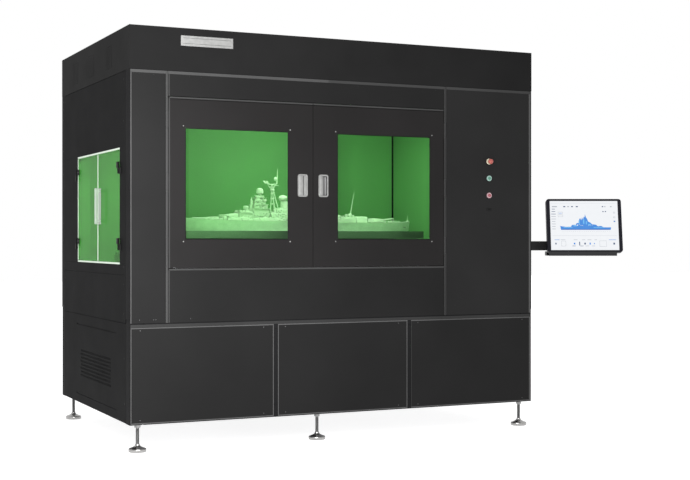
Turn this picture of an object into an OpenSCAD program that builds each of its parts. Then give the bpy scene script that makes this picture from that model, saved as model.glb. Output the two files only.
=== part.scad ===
// Large-format laser resin printer: a sheet-metal cabinet on six levelling feet, with a
// glazed build chamber, a resin vat, a twin-screw platform lift, a recoater, overhead
// optics, an electrical bay and an operator monitor on a swing arm.
// Cabinet coordinates: x from the left side, y from the front face backwards, z from the floor.

/* [Cabinet] */
// Width of the cabinet
cabinet_w = 2700; // [2680:1:2760]
// Depth of the cabinet
cabinet_d = 1660; // [1655:1:1700]
// Height from the floor to the top of the cover
cabinet_h = 2438; // [2400:1:2600]
// Underside of the cabinet above the floor
foot_h = 160; // [150:1:180]
// Underside of the top cover
cover_z = 2187; // [2187:1:2200]
// Outer size of the square frame tubes
tube = 75; // [72:1:76]
// Thickness of the outer sheet panels
sheet = 3; // [2:0.5:3]

/* [Front doors] */
// Lower edge of the doors
door_z = 1052; // [1050:1:1060]
// Height of the doors
door_h = 987; // [960:1:988]
// Depth of the door trays
door_t = 40; // [36:1:44]
// Side of the square windows
window = 644; // [600:1:646]
// Lower edge of the windows
window_z = 1217; // [1200:1:1225]

/* [Side doors] */
// Front edge of the side opening
side_y = 201; // [195:1:210]
// Length of the side opening
side_l = 1014; // [980:1:1020]
// Lower edge of the side opening
side_z = 1072; // [1070:1:1090]
// Height of the side opening
side_h = 680; // [640:1:682]

/* [Platform] */
// Length of the build platform
platform_l = 1600; // [1500:1:1610]
// Width of the build platform
platform_w = 800; // [760:1:800]
// Top of the raised platform
platform_z = 1270; // [1268:1:1280]
// Distance between the two lift columns
lift_span = 1090; // [1060:1:1110]

/* [Monitor] */
// Width of the monitor housing
monitor_w = 502; // [480:1:520]
// Height of the monitor housing
monitor_h = 364; // [340:1:366]
// Angle at which the monitor faces left of straight ahead
monitor_yaw = 25.2; // [20:0.1:30]
// Angle at which the monitor leans back
monitor_lean = 12; // [10:0.5:14]

/* [Hidden] */
$fn = 48;
e = 0.5;                              // weld and assembly gap between frame members
wall = 4;                             // wall of the frame tubes
inset = 3;                            // step of the lower cabinet behind the upper one

// Heights
ring_z = 685;                         // underside of the ring between the two frames
base_post_z = foot_h + tube;
upper_z = ring_z + tube;
top_ring_z = cover_z - tube;
waist_lo = 713;                       // top of the lower front panels
waist_hi = 738;                       // bottom of the upper panels
panel_top = cover_z - 3;
deck_z = 1060;
vat_rim = 1150;
ceiling_z = 2050;

// Front elevation
hinge_l = 222.5;                      // axis of the left front door
hinge_r = 2054;                       // axis of the right front door
hinge_y = 6;
trim_r = 9;
pin_r = 4;
column_l = 212;                       // inner edge of the left column panel
column_r = hinge_r + trim_r;
door_edge = 13.5;                     // hinge axis to the edge of its door
door_w = (hinge_r - hinge_l) / 2 - door_edge - 1.5;
window_x = 110;                       // hinge axis to the window
pull_x = 815;                         // hinge axis to the pull
pull_w = 65;
pull_h = 136;
pull_z = 1474;
knuckle_z = [1130, 1495, 1860];
knuckle_h = 100;
button_x = 2376;

// Chamber
liner_l = 88;
liner_r = 2350;
liner_f = tube + sheet + 1;
liner_b = 1300;
vat_x = [300, 2110];
vat_y = [140, 1150];
platform_x = (vat_x[0] + vat_x[1]) / 2 - platform_l / 2;
platform_y = 200;
lift_x = [(vat_x[0] + vat_x[1] - lift_span) / 2, (vat_x[0] + vat_x[1] + lift_span) / 2];
screw_y = 1240;
screw_r = 12.5;

// Monitor
arm_pivot = [cabinet_w + 35, 175];
swivel = [3201, 175];
arm_z = 1144;
arm_h = 62;
tilt_y = -133;
tilt_z = 1299;
tilt_depth = 60;                      // tilt axis to the front of the screen
monitor_t = 40;
bezel = [24, 14];
tray_x = [-244, 206];
tray_y = [-250, -60];
tray_z = 1109;
tray_lip = 2;

// The origin is under the centre of the whole object's box
corner = 18;                          // radius of the monitor's corners
handle_out = 38;                      // reach of the side handles beyond the cabinet
lean_back = (monitor_h / 2 - corner) * sin(monitor_lean)
    - (tilt_depth - monitor_t) * cos(monitor_lean);
lean_front = (monitor_h / 2 - corner) * sin(monitor_lean) + tilt_depth * cos(monitor_lean);
monitor_reach = (tilt_y - lean_front) * cos(monitor_yaw) - monitor_w / 2 * sin(monitor_yaw);
tray_reach = (tray_y[0] - tray_lip) * cos(monitor_yaw) - tray_x[1] * sin(monitor_yaw);
max_x = swivel[0] + monitor_w / 2 * cos(monitor_yaw) + (tilt_y + lean_back) * sin(monitor_yaw);
min_y = swivel[1] + min(monitor_reach, tray_reach);
origin = [(max_x - handle_out) / 2, (cabinet_d + min_y) / 2];

module cab() translate([-origin[0], -origin[1], 0]) children();
module box(lo, hi) translate(lo) cube([hi[0] - lo[0], hi[1] - lo[1], hi[2] - lo[2]]);

// A square tube between two corners, hollow along the named axis
module rhs(lo, hi, along) {
    a = [along == "x" ? 0 : wall, along == "y" ? 0 : wall, along == "z" ? 0 : wall];
    b = [along == "x" ? 1 : 0, along == "y" ? 1 : 0, along == "z" ? 1 : 0];
    difference() {
        box(lo, hi);
        box(lo + a - b, hi - a + b);
    }
}

// A plate with one rectangular opening, as four strips that meet with a small gap
module framed_x(x0, x1, lo, hi, hole_lo, hole_hi) {
    box([x0, lo[0], lo[1]], [x1, hi[0], hole_lo[1] - e]);
    box([x0, lo[0], hole_hi[1] + e], [x1, hi[0], hi[1]]);
    box([x0, lo[0], hole_lo[1]], [x1, hole_lo[0], hole_hi[1]]);
    box([x0, hole_hi[0], hole_lo[1]], [x1, hi[0], hole_hi[1]]);
}

module rod_x(x0, x1, y, z, r) translate([x0, y, z]) rotate([0, 90, 0]) cylinder(h = x1 - x0, r = r);
module rod_y(y0, y1, x, z, r) translate([x, y0, z]) rotate([-90, 0, 0]) cylinder(h = y1 - y0, r = r);
module rod_z(z0, z1, x, y, r) translate([x, y, z0]) cylinder(h = z1 - z0, r = r);

// ---- Frames and feet ----
base_mid_x = [858, 1757];             // posts behind the gaps between the lower panels
front_y = [sheet, sheet + tube];
rear_y = [cabinet_d - sheet - tube, cabinet_d - sheet];

// A closed ring of tubes between four corner posts
module ring(z, left, right) {
    for (y = [front_y, rear_y])
        rhs([left + tube + inset + e, y[0], z], [right - tube - inset - e, y[1], z + tube], "x");
    for (x = [left, right - tube])
        rhs([x, front_y[1] + e, z], [x + tube, rear_y[0] - e, z + tube], "y");
}

// An upright tube with a plate that closes its foot
module post(lo, hi) difference() {
    box(lo, hi);
    box(lo + [wall, wall, wall], hi + [-wall, -wall, 1]);
}

module base_frame() color([0.1, 0.1, 0.105]) cab() {
    left = inset;
    right = cabinet_w - inset;
    ring(foot_h, left + inset, right - inset);
    ring(ring_z, left + inset, right - inset);
    for (y = [front_y, rear_y]) {
        for (x = [left, right - tube])
            post([x, y[0], foot_h], [x + tube, y[1], upper_z]);
        for (x = base_mid_x)
            post([x, y[0], base_post_z + e], [x + tube, y[1], ring_z - e]);
    }
    for (x = base_mid_x)
        rhs([x, front_y[1] + e, 485], [x + tube, rear_y[0] - e, 485 + tube], "y");
    rhs([1152, front_y[1] + e, foot_h], [1152 + tube, rear_y[0] - e, foot_h + tube], "y");
}

jamb_l = [column_l - 2 - tube, column_l - 2];
jamb_r = [hinge_r + 12, hinge_r + 12 + tube];
partition_x = 2360;
cross_x = [560, 1760];

module upper_frame() color([0.1, 0.1, 0.105]) cab() {
    z0 = upper_z + e;
    z1 = top_ring_z - e;
    ring(top_ring_z, sheet, cabinet_w - sheet);
    for (y = [front_y, rear_y])
        for (x = [0, cabinet_w - tube])
            post([x, y[0], z0], [x + tube, y[1], cover_z]);
    for (x = [jamb_l, jamb_r])
        post([x[0], front_y[0], z0], [x[1], front_y[1], z1]);
    for (z = [[door_z - 7 - tube, door_z - 7], [door_z + door_h + 6, z1]])
        rhs([jamb_l[1] + e, front_y[0], z[0]], [jamb_r[0] - e, front_y[1], z[1]], "x");
    for (y = [120, 1222])
        post([partition_x, y, z0], [partition_x + tube, y + tube, z1]);
    for (x = lift_x)
        post([x - tube / 2, liner_b + 3, z0], [x + tube / 2, liner_b + 3 + tube, z1]);
    for (x = cross_x)
        rhs([x, front_y[1] + e, top_ring_z], [x + tube, rear_y[0] - e, cover_z], "y");
    for (z = [side_z - 12 - tube, side_z + side_h + 13])
        rhs([sheet, front_y[1] + e, z], [sheet + tube, rear_y[0] - e, z + tube], "y");
}

foot_x = [65, 1190, cabinet_w - 62];
foot_y = [60, cabinet_d - 60];

module foot_pads() color([0.75, 0.75, 0.76]) cab() {
    for (x = foot_x)
        for (y = foot_y)
            translate([x, y, 0])
                rotate_extrude()
                    polygon([[0, 0], [50, 0], [52, 3], [52, 9], [49, 13], [20, 34], [17, 46],
                        [0, 46]]);
}

module foot_studs() color([0.7, 0.7, 0.71]) cab() {
    for (x = foot_x)
        for (y = foot_y) {
            rod_z(46, foot_h, x, y, 10);
            translate([x, y, foot_h - 20]) cylinder(h = 16, r = 18, $fn = 6);
        }
}

module floor_pan() color([0.16, 0.16, 0.165]) cab() {
    z = base_post_z + e;
    x = [inset + tube + e, base_mid_x[0] - e, base_mid_x[0] + tube + e, base_mid_x[1] - e,
        base_mid_x[1] + tube + e, cabinet_w - inset - tube - e];
    for (i = [0, 2, 4])
        box([x[i], 30, z], [x[i + 1], cabinet_d - 30, z + 2]);
}

// ---- Top cover and louvres ----
vent_y = [440, 859, 1270];
vent_side = 130;
vent_z = 2237;

module top_cover() color([0.11, 0.11, 0.115]) cab() difference() {
    box([0, 0, cover_z], [cabinet_w, cabinet_d, cabinet_h]);
    box([sheet, sheet, cover_z - 1], [cabinet_w - sheet, cabinet_d - sheet, cabinet_h - sheet]);
    for (y = vent_y)
        box([-1, y - vent_side / 2, vent_z], [cabinet_w + 1, y + vent_side / 2, vent_z + vent_side]);
}

module louvre() {
    h = vent_side - 1;
    difference() {
        box([0.5, -h / 2, 0], [14, h / 2, h]);
        box([0, -h / 2 + 5, 5], [15, h / 2 - 5, h - 5]);
    }
    for (i = [0 : 8])
        translate([2, 0, 8 + i * 13])
            rotate([0, -35, 0])
                box([0, -h / 2 + 4, 0], [11, h / 2 - 4, 1.2]);
}

module vent_louvres() color([0.07, 0.07, 0.075]) cab() {
    for (y = vent_y) {
        translate([0, y, vent_z + 0.5]) louvre();
        translate([cabinet_w, y, vent_z + 0.5]) mirror([1, 0, 0]) louvre();
    }
}

// ---- Front panels ----
module left_column_panel() color([0.2, 0.2, 0.205]) cab()
    box([8, 0, waist_hi], [column_l, sheet, panel_top]);

button_z = [1719, 1611, 1501];
port_z = 1411;
port_w = 36;
port_h = 17;

module right_column_panel() color([0.18, 0.18, 0.185]) cab() difference() {
    box([column_r, 0, waist_hi], [cabinet_w - 10, sheet, panel_top]);
    for (z = button_z)
        rod_y(-1, sheet + 1, button_x, z, 11.2);
    box([button_x - port_w / 2 + 4, -1, port_z - port_h / 2 + 4],
        [button_x + port_w / 2 - 4, sheet + 1, port_z + port_h / 2 - 4]);
}

fascia_x = [hinge_l + trim_r + 2, hinge_r - trim_r - 2];
module upper_fascia() color([0.18, 0.18, 0.185]) cab()
    box([fascia_x[0], 0, door_z + door_h + 3], [fascia_x[1], sheet, panel_top]);

module lower_fascia() color([0.19, 0.19, 0.195]) cab()
    box([fascia_x[0], 0, waist_hi], [fascia_x[1], sheet, door_z - 3]);

lower_x = [[15, 882], [909, 1782], [1807, 2690]];
module lower_front_panels() color([0.2, 0.2, 0.205]) cab()
    for (x = lower_x)
        box([x[0], 0, foot_h + 5], [x[1], sheet, waist_lo]);

// Trims beside the doors: tubes that carry the door pins, cut away for the door knuckles.
// Above and below the doors only their front part passes, over the cross tubes of the frame.
pin_z = [door_z - 6, door_z + door_h + 5];
module trim_segment(x, z0, z1, side) difference() {
    union() {
        rod_z(z0, z1, x, hinge_y, trim_r);
        translate([x, 0, z0])
            box([side > 0 ? -12 : 0, 8, 0], [side > 0 ? 0 : 11.5, 14, z1 - z0]);
    }
    for (z = [[z0 - 1, pin_z[0]], [pin_z[1], z1 + 1]])
        if (z[1] > z[0])
            box([x - 20, sheet - e, z[0]], [x + 20, 20, z[1]]);
    rod_z(max(z0 - 1, pin_z[0]), min(z1 + 1, pin_z[1]), x, hinge_y, pin_r + 0.05);
}

module hinge_trims() color([0.24, 0.24, 0.245]) cab() {
    ends = [for (i = [0 : len(knuckle_z)])
        [i == 0 ? waist_hi : knuckle_z[i - 1] + knuckle_h + 2,
            i == len(knuckle_z) ? panel_top : knuckle_z[i] - 2]];
    for (z = ends) {
        trim_segment(hinge_l, z[0], z[1], 1);
        trim_segment(hinge_r, z[0], z[1], -1);
    }
}

module door_hinge_pins() color([0.7, 0.7, 0.71]) cab()
    for (x = [hinge_l, hinge_r])
        rod_z(pin_z[0] + e, pin_z[1] - e, x, hinge_y, pin_r);

// Screw heads on the fixed panels
module head_front(x, z) rod_y(-2, 0, x, z, 5);
module head_left(y, z, x) rod_x(x - 2, x, y, z, 5);

module panel_screws() color([0.1, 0.1, 0.1]) cab() {
    for (x = lower_x)
        for (sx = [x[0] + 60, x[1] - 60])
            for (sz = [foot_h + 40, waist_lo - 40])
                head_front(sx, sz);
    for (sx = [fascia_x[0] + 60, 840, 1440, fascia_x[1] - 60]) {
        head_front(sx, waist_hi + 60);
        head_front(sx, panel_top - 60);
    }
    for (sz = [waist_hi + 60, 1200, 1700, panel_top - 60]) {
        head_front(70, sz);
        head_front(column_r + 60, sz);
        head_front(cabinet_w - 60, sz);
    }
    for (sy = [110, cabinet_d - 110])
        for (sz = [790, 960, 1060, 1900, 2140])
            head_left(sy, sz, 0);
    for (sy = [110, cabinet_d - 110])
        for (sz = [272, 533])
            head_left(sy, sz, inset);
}

// ---- Side and rear panels ----
side_edge = [front_y[1] + 2, rear_y[0] - 2];
middle_z = [waist_hi, 1011];

module left_upper_panel() color([0.17, 0.17, 0.175]) cab()
    framed_x(0, sheet, [side_edge[0], middle_z[1] + 3], [side_edge[1], panel_top],
        [side_y, side_z], [side_y + side_l, side_z + side_h]);

module left_middle_panel() color([0.17, 0.17, 0.175]) cab()
    box([0, side_edge[0], middle_z[0]], [sheet, side_edge[1], middle_z[1]]);

grille_y = 411;
grille_z = 345;
grille_pitch = 26;
grille_cols = 29;
grille_rows = 8;
slot_l = 958;

module left_lower_panel() color([0.17, 0.17, 0.175]) cab() difference() {
    box([inset, side_edge[0], foot_h + 5], [inset + sheet, side_edge[1], waist_hi - 4]);
    for (z = [220, 670])
        box([inset - 1, 292, z - 4], [inset + sheet + 1, 292 + slot_l, z + 4]);
    for (j = [0 : grille_rows - 1])
        for (i = [0 : grille_cols - 1 - j % 2])
            translate([inset - 1, grille_y + (i + (j % 2) / 2) * grille_pitch,
                grille_z + j * grille_pitch * 0.87])
                rotate([0, 90, 0])
                    cylinder(h = sheet + 2, r = 8.5, $fn = 6);
}

service_y = [250, 1400];
service_z = [800, 2100];

module right_side_panel() color([0.17, 0.17, 0.175]) cab() {
    framed_x(cabinet_w - sheet, cabinet_w, [side_edge[0], waist_hi], [side_edge[1], panel_top],
        [service_y[0], service_z[0]], [service_y[1], service_z[1]]);
    box([cabinet_w - inset - sheet, side_edge[0], foot_h + 5],
        [cabinet_w - inset, side_edge[1], waist_hi - 4]);
}

// Rear: two upper panels over two lower ones, each with a block of slots, and a power inlet
rear_vent = [[300, 350], [1900, 350], [300, 1900], [1900, 1900]];

module rear_panels() color([0.17, 0.17, 0.175]) cab() {
    y = [cabinet_d - sheet, cabinet_d];
    half = cabinet_w / 2;
    difference() {
        for (x = [[8, half - 2], [half + 2, cabinet_w - 8]]) {
            box([x[0], y[0], waist_hi], [x[1], y[1], panel_top]);
            box([x[0], y[0], foot_h + 5], [x[1], y[1], waist_hi - 5]);
        }
        for (v = rear_vent)
            for (i = [0 : 9])
                box([v[0], y[0] - 1, v[1] + i * 20], [v[0] + 480, y[1] + 1, v[1] + i * 20 + 8]);
        box([2450, y[0] - 1, 480], [2530, y[1] + 1, 560]);
    }
    // Inlet box with its collar
    difference() {
        box([2440, y[0] - 60, 470], [2540, y[0] - 0.5, 570]);
        box([2452, y[0] - 50, 482], [2528, y[0] + 1, 558]);
    }
}

// ---- Chamber ----
scan_x = [805, 1605];
scan_y = 600;
liner_open_x = [245, 2031];
liner_open_z = [1075, 2030];

module chamber_liner() color([0.85, 0.87, 0.85]) cab() {
    // Front wall around the doors
    translate([0, liner_f, 0])
        mirror([1, -1, 0])
            framed_x(0, 2, [liner_l, deck_z], [liner_r, ceiling_z],
                [liner_open_x[0], liner_open_z[0]], [liner_open_x[1], liner_open_z[1]]);
    // Left wall around the side doors, and the jamb that lines its opening
    framed_x(liner_l - 2, liner_l, [liner_f + 2 + e, deck_z], [liner_b, ceiling_z],
        [side_y, side_z], [side_y + side_l, side_z + side_h]);
    jamb = [sheet + 0.5, liner_l - 2 - e];
    for (z = [side_z - 2, side_z + side_h])
        box([jamb[0], side_y, z], [jamb[1], side_y + side_l, z + 2]);
    for (y = [side_y - 2 - e, side_y + side_l + e])
        box([jamb[0], y, side_z], [jamb[1], y + 2, side_z + side_h]);
    box([liner_r, liner_f + 2 + e, deck_z], [liner_r + 2, liner_b, ceiling_z]);
    box([liner_l, liner_b + e, deck_z], [liner_r, liner_b + 2.5, ceiling_z]);
    // Ceiling with an opening under each scan head
    difference() {
        box([liner_l, liner_f, ceiling_z + e], [liner_r, liner_b, ceiling_z + 2.5]);
        for (x = scan_x)
            box([x - 110, scan_y - 110, ceiling_z], [x + 110, scan_y + 110, ceiling_z + 3]);
    }
}

module work_deck() color([0.6, 0.61, 0.62]) cab() {
    z = [deck_z - 2.5, deck_z - e];
    gap = 4;
    box([liner_l, liner_f, z[0]], [vat_x[0] - gap, liner_b, z[1]]);
    box([vat_x[1] + gap, liner_f, z[0]], [liner_r, liner_b, z[1]]);
    box([vat_x[0] - gap + e, liner_f, z[0]], [vat_x[1] + gap - e, vat_y[0] - gap, z[1]]);
    xs = [vat_x[0] - gap + e, lift_x[0] - 60, lift_x[0] + 60, lift_x[1] - 60, lift_x[1] + 60,
        vat_x[1] + gap - e];
    for (i = [0, 2, 4])
        box([xs[i], vat_y[1] + gap, z[0]], [xs[i + 1], liner_b, z[1]]);
}

module resin_vat() color([0.72, 0.73, 0.74]) cab() difference() {
    box([vat_x[0], vat_y[0], 560.5], [vat_x[1], vat_y[1], vat_rim]);
    box([vat_x[0] + 5, vat_y[0] + 5, 566], [vat_x[1] - 5, vat_y[1] - 5, vat_rim + 1]);
}

module led_strips() color([0.95, 0.97, 0.9]) cab()
    for (y = [100, 1262])
        box([400, y, ceiling_z - 14], [2000, y + 18, ceiling_z]);

// ---- Optics over the chamber ----
plate_z = cover_z + e;
plate_t = 12;

module optical_plate() color([0.75, 0.76, 0.77]) cab() difference() {
    box([500, 250, plate_z], [1900, 1350, plate_z + plate_t]);
    for (x = scan_x)
        rod_z(plate_z - 1, plate_z + plate_t + 1, x, scan_y, 46);
}

module laser_units() color([0.25, 0.26, 0.28]) cab()
    for (x = scan_x) {
        box([x - 65, scan_y + 240, plate_z + plate_t + e], [x + 65, scan_y + 660, plate_z + 108]);
        rod_y(scan_y + 180, scan_y + 240, x, plate_z + 62, 14);
    }

module scan_heads() color([0.3, 0.31, 0.33]) cab()
    for (x = scan_x) {
        z = plate_z + plate_t + e;
        difference() {
            box([x - 75, scan_y - 75, z], [x + 75, scan_y + 75, z + 150]);
            rod_y(scan_y + 50, scan_y + 76, x, plate_z + 62, 15);
        }
        rod_z(z - 36, z, x, scan_y, 42);
    }

// ---- Platform lift ----
column_z = [985, 2034];
bearing_lo = [1100, 1140];
bearing_hi = [1994, 2034];

module lift_column(x) {
    box([x - 55, 1280, column_z[0]], [x + 55, liner_b, column_z[1]]);
    for (s = [-1, 1])
        box([x + s * 42 - 10, 1256, 1150], [x + s * 42 + 10, 1279.5, 1990]);
    for (z = [bearing_lo, bearing_hi])
        difference() {
            box([x - 32, 1206, z[0]], [x + 32, 1279.5, z[1]]);
            rod_z(z[0] - 1, z[1] + 1, x, screw_y, screw_r + 0.05);
        }
    box([x - 38, 1200, column_z[0]], [x + 38, 1276, bearing_lo[0] - 12]);
}

module lift_columns() color([0.55, 0.56, 0.58]) cab()
    for (x = lift_x)
        lift_column(x);

module lift_screw(x) cab() {
    rod_z(bearing_lo[0] - 10, bearing_hi[1] - 2, x, screw_y, screw_r);
    // Flat collars above and below the top bearing keep the screw in place
    rod_z(bearing_hi[0] - 14, bearing_hi[0] - 2, x, screw_y, 20);
}
module lift_screw_left() color([0.78, 0.79, 0.8]) lift_screw(lift_x[0]);
module lift_screw_right() color([0.78, 0.79, 0.8]) lift_screw(lift_x[1]);

carriage_z = [1720, 1975];
fork_z = [platform_z - 65, platform_z - 15];
hanger_y = [1108, 1128];

module platform_frame() color([0.62, 0.63, 0.65]) cab() {
    for (x = lift_x) {
        // Carriage plate, its four rail blocks and the nut
        box([x - 60, 1190, carriage_z[0]], [x + 60, 1221.5, carriage_z[1]]);
        for (s = [-1, 1])
            for (z = [carriage_z[0] + 5, carriage_z[1] - 75])
                box([x + s * 42 - 13, 1222, z], [x + s * 42 + 13, 1255.5, z + 70]);
        difference() {
            box([x - 27, 1222, 1810], [x + 27, 1264, 1880]);
            rod_z(1809, 1881, x, screw_y, screw_r + 0.4);
        }
        // Bracket and hanger over the rear wall of the vat
        box([x - 45, hanger_y[1] + e, 1755], [x + 45, 1189.5, carriage_z[1] - 10]);
        box([x - 60, hanger_y[0], fork_z[0]], [x + 60, hanger_y[1], carriage_z[1]]);
        box([x - 20, 240, fork_z[0]], [x + 20, hanger_y[0] - e, fork_z[1] - e]);
    }
    for (y = [300, 940])
        rhs([lift_x[0] + 20 + e, y, fork_z[0]], [lift_x[1] - 20 - e, y + 40, fork_z[1] - e], "x");
}

hole_pitch = 80;
platform_rim = 46;                    // depth of the rim along the front and the sides
module build_platform() color([0.66, 0.67, 0.68]) cab() difference() {
    union() {
        box([platform_x, platform_y, platform_z - 15],
            [platform_x + platform_l, platform_y + platform_w, platform_z]);
        box([platform_x, platform_y, platform_z - platform_rim],
            [platform_x + platform_l, platform_y + 4, platform_z - 14]);
        for (x = [platform_x, platform_x + platform_l - 4])
            box([x, platform_y, platform_z - platform_rim],
                [x + 4, platform_y + platform_w, platform_z - 14]);
    }
    for (i = [0 : platform_l / hole_pitch - 1.5])
        for (j = [0 : platform_w / hole_pitch - 1.5])
            translate([platform_x + (i + 0.75) * hole_pitch + 20,
                platform_y + (j + 0.75) * hole_pitch + 20, platform_z - 16])
                cylinder(h = 17, r = 14, $fn = 6);
}

// ---- Recoater ----
rail_x = [[232, 278], [2132, 2178]];

module recoater_rails() color([0.5, 0.51, 0.53]) cab()
    for (x = rail_x) {
        box([x[0], 110, deck_z], [x[1], 1160, 1119.5]);
        box([x[0] + 12, 110, 1120], [x[1] - 12, 1160, 1140]);
    }

module recoater() color([0.7, 0.71, 0.73]) cab() {
    rhs([rail_x[0][0] - 7, 150, 1160.5], [rail_x[1][1] + 7, 195, 1195], "x");
    for (x = rail_x)
        box([x[0], 148, 1140.5], [x[1], 222, 1160]);
    box([325, 180, 1132], [2085, 190, 1160]);
}

// ---- Electrical bay ----
module electrical_plate() color([0.8, 0.8, 0.78]) cab()
    box([partition_x + tube + e, 130, 860], [partition_x + tube + 4, 1290, 2040]);

module electrical_devices() color([0.55, 0.57, 0.6]) cab() {
    x = partition_x + tube + 4 + e;
    // Servo drives, power supplies, controller, breakers and the ducts between their rows
    for (i = [0 : 3])
        box([x, 220 + i * 130, 1560], [x + 150, 300 + i * 130, 1760]);
    for (i = [0 : 2])
        box([x, 790 + i * 150, 1570], [x + 110, 900 + i * 150, 1750]);
    box([x, 240, 1190], [x + 90, 620, 1330]);
    for (i = [0 : 11])
        box([x, 700 + i * 40, 1210], [x + 70, 736 + i * 40, 1310]);
    for (z = [900, 1400, 1860])
        box([x, 180, z], [x + 60, 1250, z + 60]);
}

// Cases that stand on the floor pan, open below, with slots in the side that faces the panels
module bay_case(lo, hi) difference() {
    box(lo, hi);
    box(lo + [2, 2, -1], hi - [2, 2, 2]);
    for (z = [lo[2] + 40 : 16 : hi[2] - 40])
        box([lo[0] + 40, lo[1] - 1, z], [hi[0] - 40, lo[1] + 3, z + 6]);
}

// The computer on the right and the laser chiller on the left
module lower_bay_units() color([0.2, 0.2, 0.21]) cab() {
    bay_case([1940, 120, 240], [2380, 600, 420]);
    bay_case([160, 420, 240], [620, 1100, 470]);
}

// ---- Push buttons ----
module button_body(z, flange) {
    difference() {
        union() {
            rod_y(-6, 0, button_x, z, flange);
            rod_y(-0.5, 40, button_x, z, 11);
            box([button_x - 15, 40, z - 18], [button_x + 15, 74, z + 18]);
        }
        rod_y(-7, 34, button_x, z, 9.3);
    }
}

module button_bodies() color([0.72, 0.72, 0.73]) cab() {
    button_body(button_z[0], 19);
    button_body(button_z[1], 18);
    button_body(button_z[2], 18);
    // Data port below the buttons
    difference() {
        box([button_x - port_w / 2, -3, port_z - port_h / 2],
            [button_x + port_w / 2, 0, port_z + port_h / 2]);
        box([button_x - 9, -4, port_z - 3.5], [button_x + 9, 1, port_z + 3.5]);
    }
}

module emergency_stop() color([0.75, 0.08, 0.06]) cab()
    translate([button_x, 0, button_z[0]])
        rotate([90, 0, 0])
            rotate_extrude()
                polygon([[0, -24], [9, -24], [9, 12], [14, 14], [17, 18], [17, 25], [14, 31],
                    [8, 34], [0, 35]]);

module push_button(z) translate([button_x, 0, z])
    rotate([90, 0, 0])
        rotate_extrude()
            polygon([[0, -24], [9, -24], [9, 9], [8, 10.5], [0, 11]]);

module start_button() color([0.1, 0.6, 0.25]) cab() push_button(button_z[1]);
module stop_button() color([0.8, 0.1, 0.08]) cab() push_button(button_z[2]);

// ---- Front doors, drawn with the hinge axis as origin and the door along +x ----
skin = 2;
frame_w = 15;                         // pane edge hidden behind the skin
door_y = [-hinge_y, door_t - hinge_y];

module door_shell() {
    difference() {
        union() {
            box([door_edge, door_y[0], door_z], [door_edge + door_w, door_y[1], door_z + door_h]);
            for (z = knuckle_z) {
                rod_z(z, z + knuckle_h, 0, 0, trim_r);
                box([0, -4, z], [door_edge + 1, 4, z + knuckle_h]);
            }
        }
        for (z = knuckle_z)
            rod_z(z - 1, z + knuckle_h + 1, 0, 0, pin_r + 0.05);
        // Pocket of the tray, around the collar of the window
        difference() {
            box([door_edge + skin, door_y[0] + skin, door_z + skin],
                [door_edge + door_w - skin, door_y[1] + 1, door_z + door_h - skin]);
            box([window_x - frame_w - 3, -50, window_z - frame_w - 3],
                [window_x + window + frame_w + 3, 50, window_z + window + frame_w + 3]);
            box([pull_x - 4, -50, pull_z - 4], [pull_x + pull_w + 4, 24, pull_z + pull_h + 4]);
        }
        box([window_x, -50, window_z], [window_x + window, 50, window_z + window]);
        box([window_x - frame_w, door_y[0] + skin, window_z - frame_w],
            [window_x + window + frame_w, 50, window_z + window + frame_w]);
        box([pull_x + 3, -50, pull_z + 3], [pull_x + pull_w - 3, 50, pull_z + pull_h - 3]);
    }
}

module door_window()
    box([window_x - frame_w, door_y[0] + skin, window_z - frame_w],
        [window_x + window + frame_w, door_y[0] + skin + 6, window_z + window + frame_w]);

// A recessed pull: a rim on the skin, a cup behind it and a bar over half of the cup
pull_bar = 24;
module door_pull() difference() {
    union() {
        translate([pull_x + pull_w / 2, door_y[0], pull_z + pull_h / 2])
            rotate([90, 0, 0])
                linear_extrude(2.5)
                    rounded(pull_w, pull_h, 9);
        box([pull_x + 3.5, door_y[0], pull_z + 3.5],
            [pull_x + pull_w - 3.5, door_y[0] + 27, pull_z + pull_h - 3.5]);
    }
    box([pull_x + 7, door_y[0] - 5, pull_z + 9],
        [pull_x + pull_w - 7 - pull_bar, door_y[0] + 24, pull_z + pull_h - 9]);
}

// A rectangle with true round corners
module rounded(w, h, r) {
    square([w - 2 * r, h], center = true);
    square([w, h - 2 * r], center = true);
    for (x = [r - w / 2, w / 2 - r])
        for (y = [r - h / 2, h / 2 - r])
            translate([x, y]) circle(r = r);
}

module at_left_hinge() cab() translate([hinge_l, hinge_y, 0]) children();
module at_right_hinge() cab() translate([hinge_r, hinge_y, 0]) mirror([1, 0, 0]) children();

module left_door_shell() color([0.19, 0.19, 0.195]) at_left_hinge() door_shell();
module left_door_window() color([0.3, 0.75, 0.35, 0.5]) at_left_hinge() door_window();
module left_door_pull() color([0.72, 0.72, 0.72]) at_left_hinge() door_pull();
module right_door_shell() color([0.18, 0.18, 0.185]) at_right_hinge() door_shell();
module right_door_window() color([0.3, 0.75, 0.35, 0.5]) at_right_hinge() door_window();
module right_door_pull() color([0.72, 0.72, 0.72]) at_right_hinge() door_pull();

// ---- Side doors: two frameless leaves that meet in the middle ----
leaf_x = [2, 12];
leaf_z = [side_z + 13, side_z + side_h - 13];
leaf_gap = 5;
leaf_mid = side_y + side_l / 2;
leaf_axis_x = -7;
leaf_axis_y = [side_y + 3, side_y + side_l - 3];
barrel_r = 6;
leaf_pin_r = 3;
leaf_hinge_z = [leaf_z[0] + 70, leaf_z[1] - 140];
barrel_h = 35;
handle_z = [1310, 1530];

module side_window_seals() color([0.85, 0.9, 0.85]) cab() {
    for (z = [side_z, leaf_z[1] + 2])
        box([0.5, side_y + 1, z + 0.5], [16, side_y + side_l - 1, z + 10.5]);
}

module side_leaf(y0, y1) box([leaf_x[0], y0, leaf_z[0]], [leaf_x[1], y1, leaf_z[1]]);

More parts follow.
